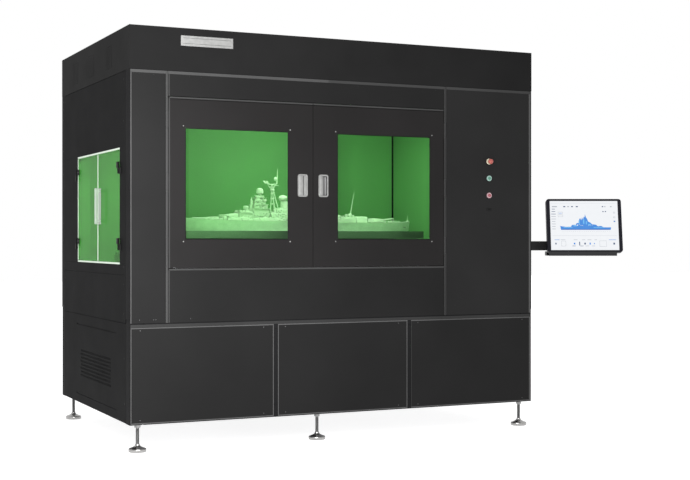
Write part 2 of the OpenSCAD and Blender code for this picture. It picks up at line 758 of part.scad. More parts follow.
module side_leaf_front() color([0.35, 0.75, 0.4, 0.5]) cab()
    side_leaf(side_y + leaf_gap, leaf_mid - 2);
module side_leaf_rear() color([0.35, 0.75, 0.4, 0.5]) cab()
    side_leaf(leaf_mid + 2, side_y + side_l - leaf_gap);

// The two moving hinge halves of a leaf; dir points from the hinge to the other leaf
module leaf_hinges(axis_y, dir) {
    for (z = leaf_hinge_z)
        difference() {
            union() {
                rod_z(z + barrel_h + 0.3, z + 2 * barrel_h, leaf_axis_x, axis_y, barrel_r);
                translate([0, axis_y, z + barrel_h + 0.3])
                    mirror([0, dir > 0 ? 0 : 1, 0]) {
                        box([-6, 0, 0], [-1, 52, barrel_h - 0.3]);
                        box([-1, 8, 0], [1.7, 52, barrel_h - 0.3]);
                    }
            }
            rod_z(z, z + 2 * barrel_h + 1, leaf_axis_x, axis_y, leaf_pin_r + 0.05);
        }
}

// The leaf that opens first carries the handle
module front_leaf_hardware() color([0.75, 0.78, 0.74]) cab() {
    grip_y = leaf_mid - 76;
    leaf_hinges(leaf_axis_y[0], 1);
    box([-handle_out, grip_y - 7, handle_z[0]], [-handle_out + 16, grip_y + 7, handle_z[1]]);
    for (z = [handle_z[0] + 12, handle_z[1] - 26])
        box([-handle_out + 16, grip_y - 7, z], [1.7, grip_y + 7, z + 14]);
}

module rear_leaf_hardware() color([0.75, 0.78, 0.74]) cab() leaf_hinges(leaf_axis_y[1], -1);

// ---- Service door on the right side, hinged at its rear edge ----
service_axis = [cabinet_w + 7, service_y[1] - 2];
service_hinge_z = [980, 1850];

module service_door() color([0.17, 0.17, 0.175]) cab() difference() {
    union() {
        box([cabinet_w - 22, service_y[0] + 3, service_z[0] + 3],
            [cabinet_w, service_y[1] - 6, service_z[1] - 3]);
        for (z = service_hinge_z) {
            rod_z(z + barrel_h + 0.3, z + 2 * barrel_h, service_axis[0], service_axis[1], barrel_r);
            box([cabinet_w - 1, service_axis[1] - 50, z + barrel_h + 0.3],
                [cabinet_w + 6, service_axis[1], z + 2 * barrel_h]);
        }
    }
    box([cabinet_w - 23, service_y[0] + 5, service_z[0] + 5],
        [cabinet_w - 2, service_y[1] - 8, service_z[1] - 5]);
    for (z = service_hinge_z)
        rod_z(z, z + 2 * barrel_h + 1, service_axis[0], service_axis[1], leaf_pin_r + 0.05);
    box([cabinet_w - 23, service_y[0] + 30, 1420], [cabinet_w + 1, service_y[0] + 60, 1500]);
}

// Fixed halves of the lift-off hinges, each with its pin
module fixed_half(x, y, z, plate_x, plate_y) {
    rod_z(z, z + barrel_h, x, y, barrel_r);
    rod_z(z + barrel_h - 1, z + 2 * barrel_h - 4, x, y, leaf_pin_r);
    box([plate_x[0], min(plate_y, y), z], [plate_x[1], max(plate_y, y), z + barrel_h]);
}

module fixed_hinge_halves() color([0.08, 0.08, 0.08]) cab() {
    for (z = leaf_hinge_z) {
        fixed_half(leaf_axis_x, leaf_axis_y[0], z, [-6, -0.3], leaf_axis_y[0] - 42);
        fixed_half(leaf_axis_x, leaf_axis_y[1], z, [-6, -0.3], leaf_axis_y[1] + 42);
    }
    for (z = service_hinge_z)
        fixed_half(service_axis[0], service_axis[1], z,
            [cabinet_w + 0.3, cabinet_w + 6], service_axis[1] + 42);
}

// ---- Monitor on its swing arm ----
eye_r = 22;
arm_pin_r = 10;
arm_top = arm_z + arm_h;

module arm_bracket() color([0.12, 0.12, 0.125]) cab() {
    box([cabinet_w + 0.3, 105, arm_z - 60], [cabinet_w + 9, 245, arm_top + 60]);
    for (z = [arm_z - 16, arm_top + 0.5]) {
        rod_z(z, z + 15.5, arm_pivot[0], arm_pivot[1], eye_r);
        box([cabinet_w + 8, arm_pivot[1] - eye_r, z],
            [arm_pivot[0], arm_pivot[1] + eye_r, z + 15.5]);
    }
    rod_z(arm_z - 2, arm_top + 2, arm_pivot[0], arm_pivot[1], arm_pin_r);
}

module monitor_arm() color([0.13, 0.13, 0.135]) cab() difference() {
    union() {
        rod_z(arm_z, arm_top, arm_pivot[0], arm_pivot[1], eye_r);
        rod_z(arm_z, arm_top, swivel[0], swivel[1], eye_r);
        difference() {
            box([arm_pivot[0], arm_pivot[1] - 20, arm_z], [swivel[0], swivel[1] + 20, arm_top]);
            box([arm_pivot[0] + 30, arm_pivot[1] - 17, arm_z + 3],
                [swivel[0] - 30, swivel[1] + 17, arm_top - 3]);
        }
    }
    rod_z(arm_z - 1, arm_top + 1, arm_pivot[0], arm_pivot[1], arm_pin_r + 0.05);
    rod_z(arm_z - 1, arm_top + 1, swivel[0], swivel[1], arm_pin_r + 0.05);
}

module at_swivel() cab()
    translate([swivel[0], swivel[1], 0]) rotate([0, 0, -monitor_yaw]) children();

// The tilt axis is the origin; the screen faces -y and leans back
module at_tilt() at_swivel()
    translate([0, tilt_y, tilt_z]) rotate([-monitor_lean, 0, 0]) children();

module monitor_head() color([0.12, 0.12, 0.125]) at_swivel() {
    rod_z(arm_z - 24, arm_z - 0.5, 0, 0, eye_r);
    rod_z(arm_z - 1, arm_top + 1, 0, 0, arm_pin_r);
    rod_z(arm_top + 0.5, tilt_z + 24, 0, 0, eye_r);
    // Neck to the tilt pin, and the foot that carries the tray
    box([-14, tilt_y + 12, tilt_z - 18], [14, 0, tilt_z + 18]);
    rod_x(-14, 14, tilt_y, tilt_z, 14);
    rod_x(-34, 34, tilt_y, tilt_z, 6);
    box([-20, -62, arm_z - 24], [20, 0, arm_z - 8]);
}

module monitor_tray() color([0.13, 0.13, 0.135]) at_swivel() {
    difference() {
        box([tray_x[0], tray_y[0] - tray_lip, tray_z], [tray_x[1], tray_y[1], tray_z + 28]);
        box([tray_x[0] + tray_lip, tray_y[0], tray_z + tray_lip],
            [tray_x[1] - tray_lip, tray_y[1] - tray_lip, tray_z + 29]);
        box([-24, tray_y[1] - tray_lip - 1, tray_z + 10.5], [24, tray_y[1] + 1, tray_z + 29]);
        box([tray_x[0] - 1, -246, tray_z + 4], [tray_x[1] + 1, -140, tray_z + 29]);
    }
}

module monitor_housing() color([0.14, 0.14, 0.15]) at_tilt() difference() {
    union() {
        translate([0, monitor_t - tilt_depth, 0])
            rotate([90, 0, 0])
                linear_extrude(monitor_t)
                    rounded(monitor_w, monitor_h, corner);
        for (s = [-1, 1]) {
            translate([s * 24.5, 0, 0]) box([-7, monitor_t - tilt_depth, -16], [7, 0, 16]);
            rod_x(s * 24.5 - 7, s * 24.5 + 7, 0, 0, 16);
        }
    }
    rod_x(-40, 40, 0, 0, 6.05);
    box([bezel[0] - monitor_w / 2, -tilt_depth - 1, bezel[1] - monitor_h / 2],
        [monitor_w / 2 - bezel[0], 3 - tilt_depth, monitor_h / 2 - bezel[1]]);
}

module monitor_screen() color([0.9, 0.92, 0.95]) at_tilt() {
    edge = bezel + [0.2, 0.2];
    box([edge[0] - monitor_w / 2, 0.6 - tilt_depth, edge[1] - monitor_h / 2],
        [monitor_w / 2 - edge[0], 2.9 - tilt_depth, monitor_h / 2 - edge[1]]);
}

base_frame();
upper_frame();
foot_pads();
foot_studs();
floor_pan();
top_cover();
vent_louvres();
left_column_panel();
right_column_panel();
upper_fascia();
lower_fascia();
hinge_trims();
door_hinge_pins();
lower_front_panels();
panel_screws();
left_upper_panel();
left_middle_panel();
left_lower_panel();
right_side_panel();
rear_panels();
chamber_liner();
work_deck();
resin_vat();
led_strips();
optical_plate();
laser_units();
scan_heads();
lift_columns();
recoater_rails();
electrical_plate();
electrical_devices();
lower_bay_units();
button_bodies();
side_window_seals();
fixed_hinge_halves();
arm_bracket();
left_door_shell();
left_door_window();
left_door_pull();
right_door_shell();
right_door_window();
right_door_pull();
side_leaf_front();
side_leaf_rear();
front_leaf_hardware();
rear_leaf_hardware();
service_door();
emergency_stop();
start_button();
stop_button();
monitor_arm();
monitor_head();
monitor_tray();
monitor_housing();
monitor_screen();
platform_frame();
build_platform();
lift_screw_left();
lift_screw_right();
recoater();
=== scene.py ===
import math
import random

import bmesh
import bpy
from mathutils import Matrix, Vector


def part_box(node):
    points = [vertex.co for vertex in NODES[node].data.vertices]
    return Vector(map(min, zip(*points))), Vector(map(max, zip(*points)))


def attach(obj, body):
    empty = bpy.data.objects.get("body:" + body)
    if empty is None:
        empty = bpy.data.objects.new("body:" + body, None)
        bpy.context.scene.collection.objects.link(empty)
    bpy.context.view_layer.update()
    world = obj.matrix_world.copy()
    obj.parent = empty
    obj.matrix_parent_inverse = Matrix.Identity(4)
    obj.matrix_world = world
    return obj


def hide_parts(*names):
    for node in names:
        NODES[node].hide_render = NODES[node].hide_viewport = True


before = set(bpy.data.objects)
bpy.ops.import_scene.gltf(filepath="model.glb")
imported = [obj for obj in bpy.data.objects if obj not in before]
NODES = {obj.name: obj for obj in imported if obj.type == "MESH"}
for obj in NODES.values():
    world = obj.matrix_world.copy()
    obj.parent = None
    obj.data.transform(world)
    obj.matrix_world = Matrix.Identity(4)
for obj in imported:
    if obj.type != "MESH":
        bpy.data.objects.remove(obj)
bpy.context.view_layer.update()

# Cabinet coordinates, in millimetres: x from the left side, y from the front face
# backwards, z from the floor. The top cover's box places them in the frame.
COVER_LO, COVER_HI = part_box("top_cover")
ORIGIN = Vector((COVER_LO.x, COVER_LO.y, 0.0))
MM = 0.001
PLACE = Matrix.Translation(ORIGIN) @ Matrix.Scale(MM, 4)


def span(node):
    """Lowest and highest corner of a CAD node, in cabinet millimetres."""
    lo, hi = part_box(node)
    return (lo - ORIGIN) / MM, (hi - ORIGIN) / MM


CAB_W = (COVER_HI.x - COVER_LO.x) / MM
CAB_D = (COVER_HI.y - COVER_LO.y) / MM


# ---- materials


def socket(node, name, value):
    node.inputs[name].default_value = value


class Paint:
    """A node material built from noise: colour variation, roughness variation and bump."""

    def __init__(self, name):
        self.mat = bpy.data.materials.new(name)
        self.mat.use_nodes = True
        self.tree = self.mat.node_tree
        self.shader = self.tree.nodes["Principled BSDF"]
        self.coord = self.tree.nodes.new("ShaderNodeTexCoord")

    def node(self, kind, **values):
        made = self.tree.nodes.new(kind)
        for key, value in values.items():
            setattr(made, key, value)
        return made

    def set(self, name, value):
        socket(self.shader, name, value)

    def link(self, a, b):
        self.tree.links.new(a, b)

    def noise(self, scale, detail=3.0, stretch=(1, 1, 1), rough=0.5):
        mapping = self.node("ShaderNodeMapping")
        mapping.inputs["Scale"].default_value = stretch
        self.link(self.coord.outputs["Object"], mapping.inputs["Vector"])
        tex = self.node("ShaderNodeTexNoise")
        socket(tex, "Scale", scale)
        socket(tex, "Detail", detail)
        socket(tex, "Roughness", rough)
        self.link(mapping.outputs["Vector"], tex.inputs["Vector"])
        return tex.outputs["Fac"]

    def ramp(self, value, stops):
        made = self.node("ShaderNodeValToRGB")
        element = made.color_ramp.elements
        while len(element) < len(stops):
            element.new(0.5)
        for i, (at, colour) in enumerate(stops):
            element[i].position = at
            element[i].color = (*colour, 1.0)
        self.link(value, made.inputs["Fac"])
        return made.outputs["Color"]

    def remap(self, value, low, high):
        made = self.node("ShaderNodeMapRange")
        socket(made, "To Min", low)
        socket(made, "To Max", high)
        self.link(value, made.inputs["Value"])
        return made.outputs["Result"]

    def colour(self, value, dark, light, where=(0.3, 0.7)):
        out = self.ramp(value, [(where[0], dark), (where[1], light)])
        self.link(out, self.shader.inputs["Base Color"])

    def roughness(self, value, low, high):
        self.link(self.remap(value, low, high), self.shader.inputs["Roughness"])

    def bump(self, value, strength, distance=0.001):
        made = self.node("ShaderNodeBump")
        socket(made, "Strength", strength)
        socket(made, "Distance", distance)
        self.link(value, made.inputs["Height"])
        self.link(made.outputs["Normal"], self.shader.inputs["Normal"])


def shade(colour, factor):
    """The colour made darker or lighter."""
    return tuple(min(1.0, c * factor) for c in colour)


def powder_coat(name, colour, rough=0.5, grain=900, bump=0.12, spread=0.12, shine=0.12):
    """Fine textured powder coat: an orange-peel grain over slow patches of tone."""
    p = Paint(name)
    p.set("Specular IOR Level", shine)
    p.colour(p.noise(2.3, 4), shade(colour, 1 - spread), shade(colour, 1 + spread))
    p.roughness(p.noise(6, 4), rough - 0.05, rough + 0.06)
    p.bump(p.noise(grain, 2), bump, 0.0004)
    return p.mat


def metal(name, colour, rough=0.3, stretch=(1, 1, 60), grain=40, bump=0.05, spread=0.1):
    """Brushed or ground metal: long streaks in tone, roughness and height."""
    p = Paint(name)
    p.set("Metallic", 1.0)
    streak = p.noise(grain, 5, stretch, 0.6)
    p.colour(streak, shade(colour, 1 - spread), shade(colour, 1 + spread))
    p.roughness(streak, max(0.03, rough - 0.07), rough + 0.1)
    p.bump(streak, bump, 0.0003)
    return p.mat


def plastic(name, colour, rough=0.4, grain=1500, bump=0.06, coat=0.0):
    """Moulded plastic with a fine grain, lacquered where coat is above 0."""
    p = Paint(name)
    p.colour(p.noise(30, 3), shade(colour, 0.94), shade(colour, 1.06))
    p.roughness(p.noise(60, 3), rough - 0.04, rough + 0.05)
    p.bump(p.noise(grain, 2), bump, 0.0003)
    p.set("Coat Weight", coat)
    p.set("Coat Roughness", 0.06)
    return p.mat


def tinted_pane(name, tint, ior=1.12):
    """Green safety acrylic: light passes tinted, with a faint gloss on the faces."""
    p = Paint(name)
    p.colour(p.noise(2.0, 2), shade(tint, 0.97), shade(tint, 1.03))
    p.roughness(p.noise(5.0, 2), 0.0, 0.03)
    p.bump(p.noise(3.0, 1), 0.01)
    p.set("Transmission Weight", 1.0)
    p.set("IOR", ior)
    return p.mat


def liner_paint_with_painted_shade(name, colour):
    """The pale coat of the chamber: slow tone patches, with painted shade that darkens it towards the
    left.
    """
    p = Paint(name)
    p.set("Specular IOR Level", 0.3)
    # Painted shade: the tone is lowered towards the chamber's left side.
    axes = p.node("ShaderNodeSeparateXYZ")
    p.link(p.coord.outputs["Object"], axes.inputs["Vector"])
    across = p.node("ShaderNodeMapRange")
    for key, value in (("From Min", -0.75), ("From Max", 0.1), ("To Min", 0.05), ("To Max", 0.85)):
        socket(across, key, value)
    p.link(axes.outputs["X"], across.inputs["Value"])
    patches = p.node("ShaderNodeMath", operation="MULTIPLY_ADD")
    patches.inputs[1].default_value = 0.14
    p.link(p.noise(2.3, 4), patches.inputs[0])
    p.link(across.outputs["Result"], patches.inputs[2])
    p.colour(patches.outputs["Value"], shade(colour, 0.84), colour, (0.05, 0.95))
    p.roughness(p.noise(6, 4), 0.45, 0.56)
    p.bump(p.noise(500, 2), 0.06, 0.0004)
    return p.mat


def glowing(name, colour, strength):
    """A lamp's diffuser."""
    p = Paint(name)
    p.colour(p.noise(20, 2), shade(colour, 0.97), shade(colour, 1.0))
    p.roughness(p.noise(40, 2), 0.35, 0.45)
    p.set("Emission Color", (*colour, 1.0))
    p.set("Emission Strength", strength)
    return p.mat


def display(name, colour):
    """A lit area of the screen, with a faint gloss."""
    p = Paint(name)
    p.colour(p.noise(40, 2), (0.01, 0.01, 0.01), (0.02, 0.02, 0.02))
    p.roughness(p.noise(60, 2), 0.3, 0.4)
    p.bump(p.noise(900, 1), 0.02, 0.0001)
    p.set("Specular IOR Level", 0.1)
    p.set("Emission Color", (*colour, 1.0))
    p.set("Emission Strength", 1.0)
    return p.mat


# Colours are linear, so that the machine's charcoal is near 0.008
CHARCOAL = (0.0083, 0.0082, 0.0083)
M = {
    "panel": powder_coat("charcoal_powder_coat", CHARCOAL, shine=0.09),
    "column": powder_coat("charcoal_right_column", shade(CHARCOAL, 1.3), shine=0.1),
    "side": powder_coat("charcoal_side_panels", (0.0105, 0.0105, 0.0108), shine=0.006),
    "cover": powder_coat("charcoal_cover", (0.0118, 0.0117, 0.0118), shine=0.012),
    "door": powder_coat("charcoal_doors", (0.0092, 0.0085, 0.0086), shine=0.1),
    "frame": powder_coat("frame_coat", (0.0105, 0.0105, 0.011), shine=0.01),
    "black": powder_coat("black_satin", (0.006, 0.006, 0.006), 0.45, shine=0.05),
    "vent": powder_coat("vent_black", (0.005, 0.005, 0.005), 0.5, shine=0.03),
    "arm": powder_coat("arm_coat", (0.022, 0.022, 0.023), 0.42, shine=0.1),
    "screw": metal("screw_oxide", (0.09, 0.09, 0.09), 0.4, (1, 1, 1), 300),
    "faint_screw": metal("painted_screw", (0.03, 0.03, 0.03), 0.45, (1, 1, 1), 300),
    "pad": metal("pad_chrome", (0.36, 0.355, 0.35), 0.24, (1, 1, 1), 25, 0.02),
    "stud": metal("stud_steel", (0.26, 0.26, 0.26), 0.3, (1, 1, 20), 60),
    "zinc": metal("zinc_plate", (0.5, 0.5, 0.5), 0.3, (1, 1, 20), 60),
    "satin": metal("satin_nickel", (0.285, 0.285, 0.28), 0.52, (1, 40, 1), 50, 0.03),
    "cup": metal("pull_cup", (0.16, 0.16, 0.16), 0.6, (1, 40, 1), 50, 0.03),
    "handle": plastic("handle_grey", (0.3, 0.36, 0.3), 0.5),
    "ground": metal("ground_steel", (0.55, 0.56, 0.57), 0.28, (60, 1, 1), 40),
    "galvanised": metal("galvanised", (0.3, 0.3, 0.31), 0.45, (1, 1, 1), 18, 0.05, 0.25),
    "stainless": metal("brushed_stainless", (0.5, 0.51, 0.52), 0.34, (1, 50, 1), 40),
    "platform": metal("blasted_stainless", (0.37, 0.38, 0.39), 0.5, (1, 1, 1), 600, 0.1),
    "machined": metal("machined_aluminium", (0.55, 0.56, 0.57), 0.3, (50, 1, 1), 40),
    "anodised": metal("black_anodised", (0.05, 0.05, 0.055), 0.42, (1, 30, 1), 60, 0.03),
    "liner": liner_paint_with_painted_shade("pale_liner_painted_shade", (0.183, 0.404, 0.173)),
    "column_liner": powder_coat("pale_columns", (0.13, 0.29, 0.125), 0.5, 500, 0.06, 0.03, 0.05),
    "seal": plastic("pale_seal", (0.6, 0.68, 0.59), 0.6, 600, 0.1),
    "device": plastic("device_grey", (0.3, 0.31, 0.33), 0.45),
    "red": plastic("estop_red", (0.30, 0.062, 0.045), 0.5, 800, 0.03, 0.3),
    "green_lens": plastic("green_lens", (0.045, 0.16, 0.11), 0.2, 700, 0.03, 0.3),
    "red_lens": plastic("red_lens", (0.22, 0.03, 0.045), 0.2, 700, 0.03, 0.3),
    "collar": plastic("pale_collar", (0.5, 0.45, 0.34), 0.35, 700, 0.04),
    "green_bezel": plastic("green_bezel", (0.22, 0.34, 0.3), 0.3, 700, 0.04),
    "red_bezel": plastic("red_bezel", (0.37, 0.23, 0.25), 0.3, 700, 0.04),
    "bezel": powder_coat("monitor_bezel", (0.008, 0.008, 0.012), 0.4, 1200, 0.04, shine=0.1),
    "pane": tinted_pane("green_acrylic", (0.36, 0.60, 0.34)),
    "leaf": tinted_pane("green_acrylic_leaf", (0.47, 0.88, 0.40), 1.05),
    "paper": display("screen_background", (0.86, 0.88, 0.91)),
    "grid_grey": display("screen_grey", (0.42, 0.45, 0.5)),
    "ink": display("screen_ink", (0.06, 0.10, 0.2)),
    "sky": display("screen_blue", (0.06, 0.26, 0.72)),
    "pale_sky": display("screen_pale_blue", (0.16, 0.50, 0.88)),
    "deep_sky": display("screen_deep_blue", (0.03, 0.13, 0.45)),
    "led": glowing("led_diffuser", (0.95, 1.0, 0.93), 4.0),
    "resin": plastic("printed_resin", (0.9, 0.92, 0.88), 0.5, 400, 0.05),
    "resin_upper_painted_shade": plastic("printed_upper_works_painted_shade", (0.66, 0.68, 0.64), 0.6, 400, 0.05),
    "resin_painted_shade": plastic("printed_openings_painted_shade", (0.34, 0.36, 0.34), 0.6, 400, 0.05),
}
# Tones of the beads on the panel edges: the pale tones are painted highlight where the bent sheet
# edges catch the light. The darker tone of the cap bead's right half is painted shade, and so is the
# ledge tone where the right-hand pieces take it.
for key, name, tone in (("edge", "panel_edge", 0.062), ("trim", "trim_coat", 0.034),
                        ("ledge", "ledge_and_right_hand_painted_shade", 0.02), ("cap", "cap_bead_painted_highlight", 0.044),
                        ("cap_shade", "cap_bead_right_painted_shade", 0.03)):
    M[key] = powder_coat(name, (tone, tone, tone), 0.4, 700, 0.05)


# ---- mesh tools


def linked(name, data):
    """Makes an object of some data and links it to the scene."""
    obj = bpy.data.objects.new(name, data)
    bpy.context.scene.collection.objects.link(obj)
    return obj


def piece(name, bm, body, mats, smooth=False, replaces=(), angle=30):
    """Turns a bmesh in cabinet millimetres into an object that rides on a body."""
    bmesh.ops.remove_doubles(bm, verts=bm.verts, dist=0.0005)
    bmesh.ops.recalc_face_normals(bm, faces=bm.faces)
    mesh = bpy.data.meshes.new(name)
    bm.to_mesh(mesh)
    bm.free()
    mesh.transform(PLACE)
    obj = linked(name, mesh)
    for m in mats if isinstance(mats, (list, tuple)) else [mats]:
        mesh.materials.append(M[m])
    if smooth:
        mesh.shade_smooth()
        mesh.set_sharp_from_angle(angle=math.radians(angle))
    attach(obj, body)
    if replaces:
        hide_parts(*replaces)


def add(bm, other):
    """Adds a second bmesh to the first, and frees it."""
    mesh = bpy.data.meshes.new("scratch")
    other.to_mesh(mesh)
    other.free()
    bm.from_mesh(mesh)
    bpy.data.meshes.remove(mesh)


def block(lo, hi, radius=1.0, segments=2, mat=0, matrix=None):
    """A box with rounded edges."""
    bm = bmesh.new()
    bmesh.ops.create_cube(bm, size=1.0)
    size = Vector(hi) - Vector(lo)
    centre = (Vector(hi) + Vector(lo)) / 2
    for v in bm.verts:
        v.co = Vector((v.co.x * size.x, v.co.y * size.y, v.co.z * size.z)) + centre
    radius = min(radius, min(size) * 0.49)
    if radius > 0.01:
        soften(bm, radius, segments)
    return finished(bm, mat, matrix)


def finished(bm, mat, matrix=None):
    """Gives every face the material's index, and places the mesh."""
    for f in bm.faces:
        f.material_index = mat
    if matrix is not None:
        bm.transform(matrix)
    return bm


def soften(bm, radius, segments=2):
    """Rounds every edge."""
    bmesh.ops.bevel(
        bm, geom=bm.edges[:], offset=radius, segments=segments, affect="EDGES", profile=0.5
    )


AXES = {
    "x": Matrix.Rotation(math.radians(90), 4, "Y"),
    "y": Matrix.Rotation(math.radians(-90), 4, "X"),
    "z": Matrix.Identity(4),
}


def turned(profile, centre=(0, 0, 0), axis="z", segments=40, mat=0, matrix=None):
    """A lathe-turned solid: profile is (radius, height) pairs along the axis."""
    bm = bmesh.new()
    rings = []
    for radius, height in profile:
        if radius < 1e-6:
            rings.append([bm.verts.new((0, 0, height))])
            continue
        turns = [2 * math.pi * i / segments for i in range(segments)]
        ring = [(radius * math.cos(a), radius * math.sin(a), height) for a in turns]
        rings.append([bm.verts.new(p) for p in ring])
    for a, b in zip(rings, rings[1:]):
        for i in range(segments):
            j = (i + 1) % segments
            if len(a) == 1:
                bm.faces.new((a[0], b[i], b[j]))
            elif len(b) == 1:
                bm.faces.new((a[i], a[j], b[0]))
            else:
                bm.faces.new((a[i], a[j], b[j], b[i]))
    for ring in (rings[0], rings[-1]):
        if len(ring) > 1:
            bm.faces.new(ring)
    bm.transform(Matrix.Translation(Vector(centre)) @ AXES[axis])
    return finished(bm, mat, matrix)


def rod(radius, length, centre, axis, chamfer):
    """A round bar with chamfered ends, from the middle of one end along an axis."""
    c = min(chamfer, radius * 0.4, length * 0.4)
    profile = [(radius - c, 0), (radius, c), (radius, length - c), (radius - c, length)]
    return turned(profile, centre, axis, 12)


def prism(points, depth, mat=0, bevel=0.0, matrix=None):
    """An outline in x, z extruded along y from 0 to depth."""
    bm = bmesh.new()
    front = [bm.verts.new((x, 0, z)) for x, z in points]
    face = bm.faces.new(front)
    made = bmesh.ops.extrude_face_region(bm, geom=[face])["geom"]
    for v in made:
        if isinstance(v, bmesh.types.BMVert):
            v.co.y += depth
    if bevel:
        soften(bm, bevel)
    return finished(bm, mat, matrix)


def round_rect(w, h, r, steps=6):
    """A rounded rectangle about the origin, anticlockwise."""
    points = []
    for start, sx, sz in ((0, 1, 1), (90, -1, 1), (180, -1, -1), (270, 1, -1)):
        for i in range(steps + 1):
            a = math.radians(start + 90 * i / steps)
            points.append((sx * (w / 2 - r) + r * math.cos(a), sz * (h / 2 - r) + r * math.sin(a)))
    return points


FACES = {
    "front": [(1, 0, 0), (0, 0, 1), (0, -1, 0)],
    "left": [(0, -1, 0), (0, 0, 1), (-1, 0, 0)],
    "right": [(0, 1, 0), (0, 0, 1), (1, 0, 0)],
}


def facing(side, offset):
    """A face frame: u to the right, v up and n outwards, as seen from outside."""
    turn = Matrix([list(c) + [0] for c in zip(*FACES[side])] + [[0, 0, 0, 1]])
    origin = (0, offset, 0) if side == "front" else (offset, 0, 0)
    return Matrix.Translation(Vector(origin)) @ turn


# The folded edge of a sheet, as (inset, height) pairs
FOLD = [(0, -2.8), (0, -0.9), (0.35, -0.25), (1.2, 0.0)]


def sheet_panel(side, offset, lo, hi, edge=FOLD, hole=None, hole_edge=None):
    """A folded panel: lo and hi are its corners in the face frame, the edge profile runs
    inwards as (inset, height) pairs, and a hole may be left in it."""
    bm = bmesh.new()

    def ring(x0, z0, x1, z1, n):
        return [bm.verts.new(p) for p in ((x0, z0, n), (x1, z0, n), (x1, z1, n), (x0, z1, n))]

    def bridge(a, b):
        for i in range(4):
            j = (i + 1) % 4
            bm.faces.new((a[i], a[j], b[j], b[i]))

    rings = [ring(lo[0] + d, lo[1] + d, hi[0] - d, hi[1] - d, n) for d, n in edge]
    back = rings[0]
    for a, b in zip(rings, rings[1:]):
        bridge(a, b)
    inner = rings[-1]
    if hole:
        h0, h1 = hole
        holes = [ring(h0[0] - d, h0[1] - d, h1[0] + d, h1[1] + d, n) for d, n in hole_edge]
        bridge(inner, holes[0])
        for a, b in zip(holes, holes[1:]):
            bridge(a, b)
        bridge(holes[-1], back)
    else:
        bm.faces.new(inner)
        bm.faces.new(list(reversed(back)))
    bm.transform(facing(side, offset))
    return bm


def screw(bm, spot, side, r, mat=0):
    """A button head with a round socket, standing on the face."""
    profile = [(r, -0.5), (r, 0.4), (r * 0.86, 1.4), (r * 0.55, 2.0), (r * 0.42, 2.05)]
    head = turned(profile, segments=20, mat=mat)
    # The lid of the lathe profile makes way for the socket
    for f in list(head.faces):
        if len(f.verts) > 10 and f.calc_center_median().z > 1:
            head.faces.remove(f)
    inner = [(r * 0.42, 2.05), (r * 0.42, 0.9), (0.0, 0.8)]
    add(head, turned(inner, segments=20, mat=mat))
    head.transform(Matrix.Translation(Vector(spot)) @ facing(side, 0))
    add(bm, head)


def reuse(node, mat, bevel=0.6, segments=2):
    """Shows a CAD node with a procedural material and softened edges."""
    obj = NODES[node]
    obj.data.materials.clear()
    obj.data.materials.append(M[mat])
    weld = obj.modifiers.new("weld", "WELD")
    weld.merge_threshold = 0.00002
    if bevel:
        soft = obj.modifiers.new("soft_edges", "BEVEL")
        soft.width = bevel * MM
        soft.segments = segments
        soft.limit_method = "ANGLE"
        soft.angle_limit = math.radians(35)
        soft.use_clamp_overlap = True


# ---- front panels


def rect_of(node):
    """Left, bottom, right and top edge of a node on the front face."""
    lo, hi = span(node)
    return lo.x, lo.z, hi.x, hi.z


def front_panel(name, rects, node):
    """Folded sheet panels in the front face."""
    bm = bmesh.new()
    for x0, z0, x1, z1 in rects:
        add(bm, sheet_panel("front", 0.0, (x0, z0), (x1, z1)))
    piece(name, bm, "cabinet", "panel", replaces=[node])


def beads(bm, rects, mat=0, proud=1.0):
    """Light beads along the edges of sheets: (x0, z0, x1, z1) on the front face."""
    for x0, z0, x1, z1 in rects:
        add(bm, block((x0, -proud, z0), (x1, 0.2, z1), 0.6, 2, mat))


PANEL_LO, PANEL_HI = span("lower_front_panels")
COLUMN_LO, COLUMN_HI = span("left_column_panel")
TOP_LO, TOP_HI = span("upper_fascia")
FASCIA_LO, FASCIA_HI = span("lower_fascia")
RIGHT_LO, RIGHT_HI = span("right_column_panel")
# Left and right edges of the three lower panels
PANELS_X = [(15, 882), (909, 1782), (1807, 2690)]
front_panel("lower_front_panels_folded", [(x0, PANEL_LO.z, x1, PANEL_HI.z) for x0, x1 in PANELS_X],
            "lower_front_panels")
for node in ("left_column_panel", "upper_fascia", "lower_fascia"):
    front_panel(node + "_folded", [rect_of(node)], node)
reuse("right_column_panel", "column", 0.5)


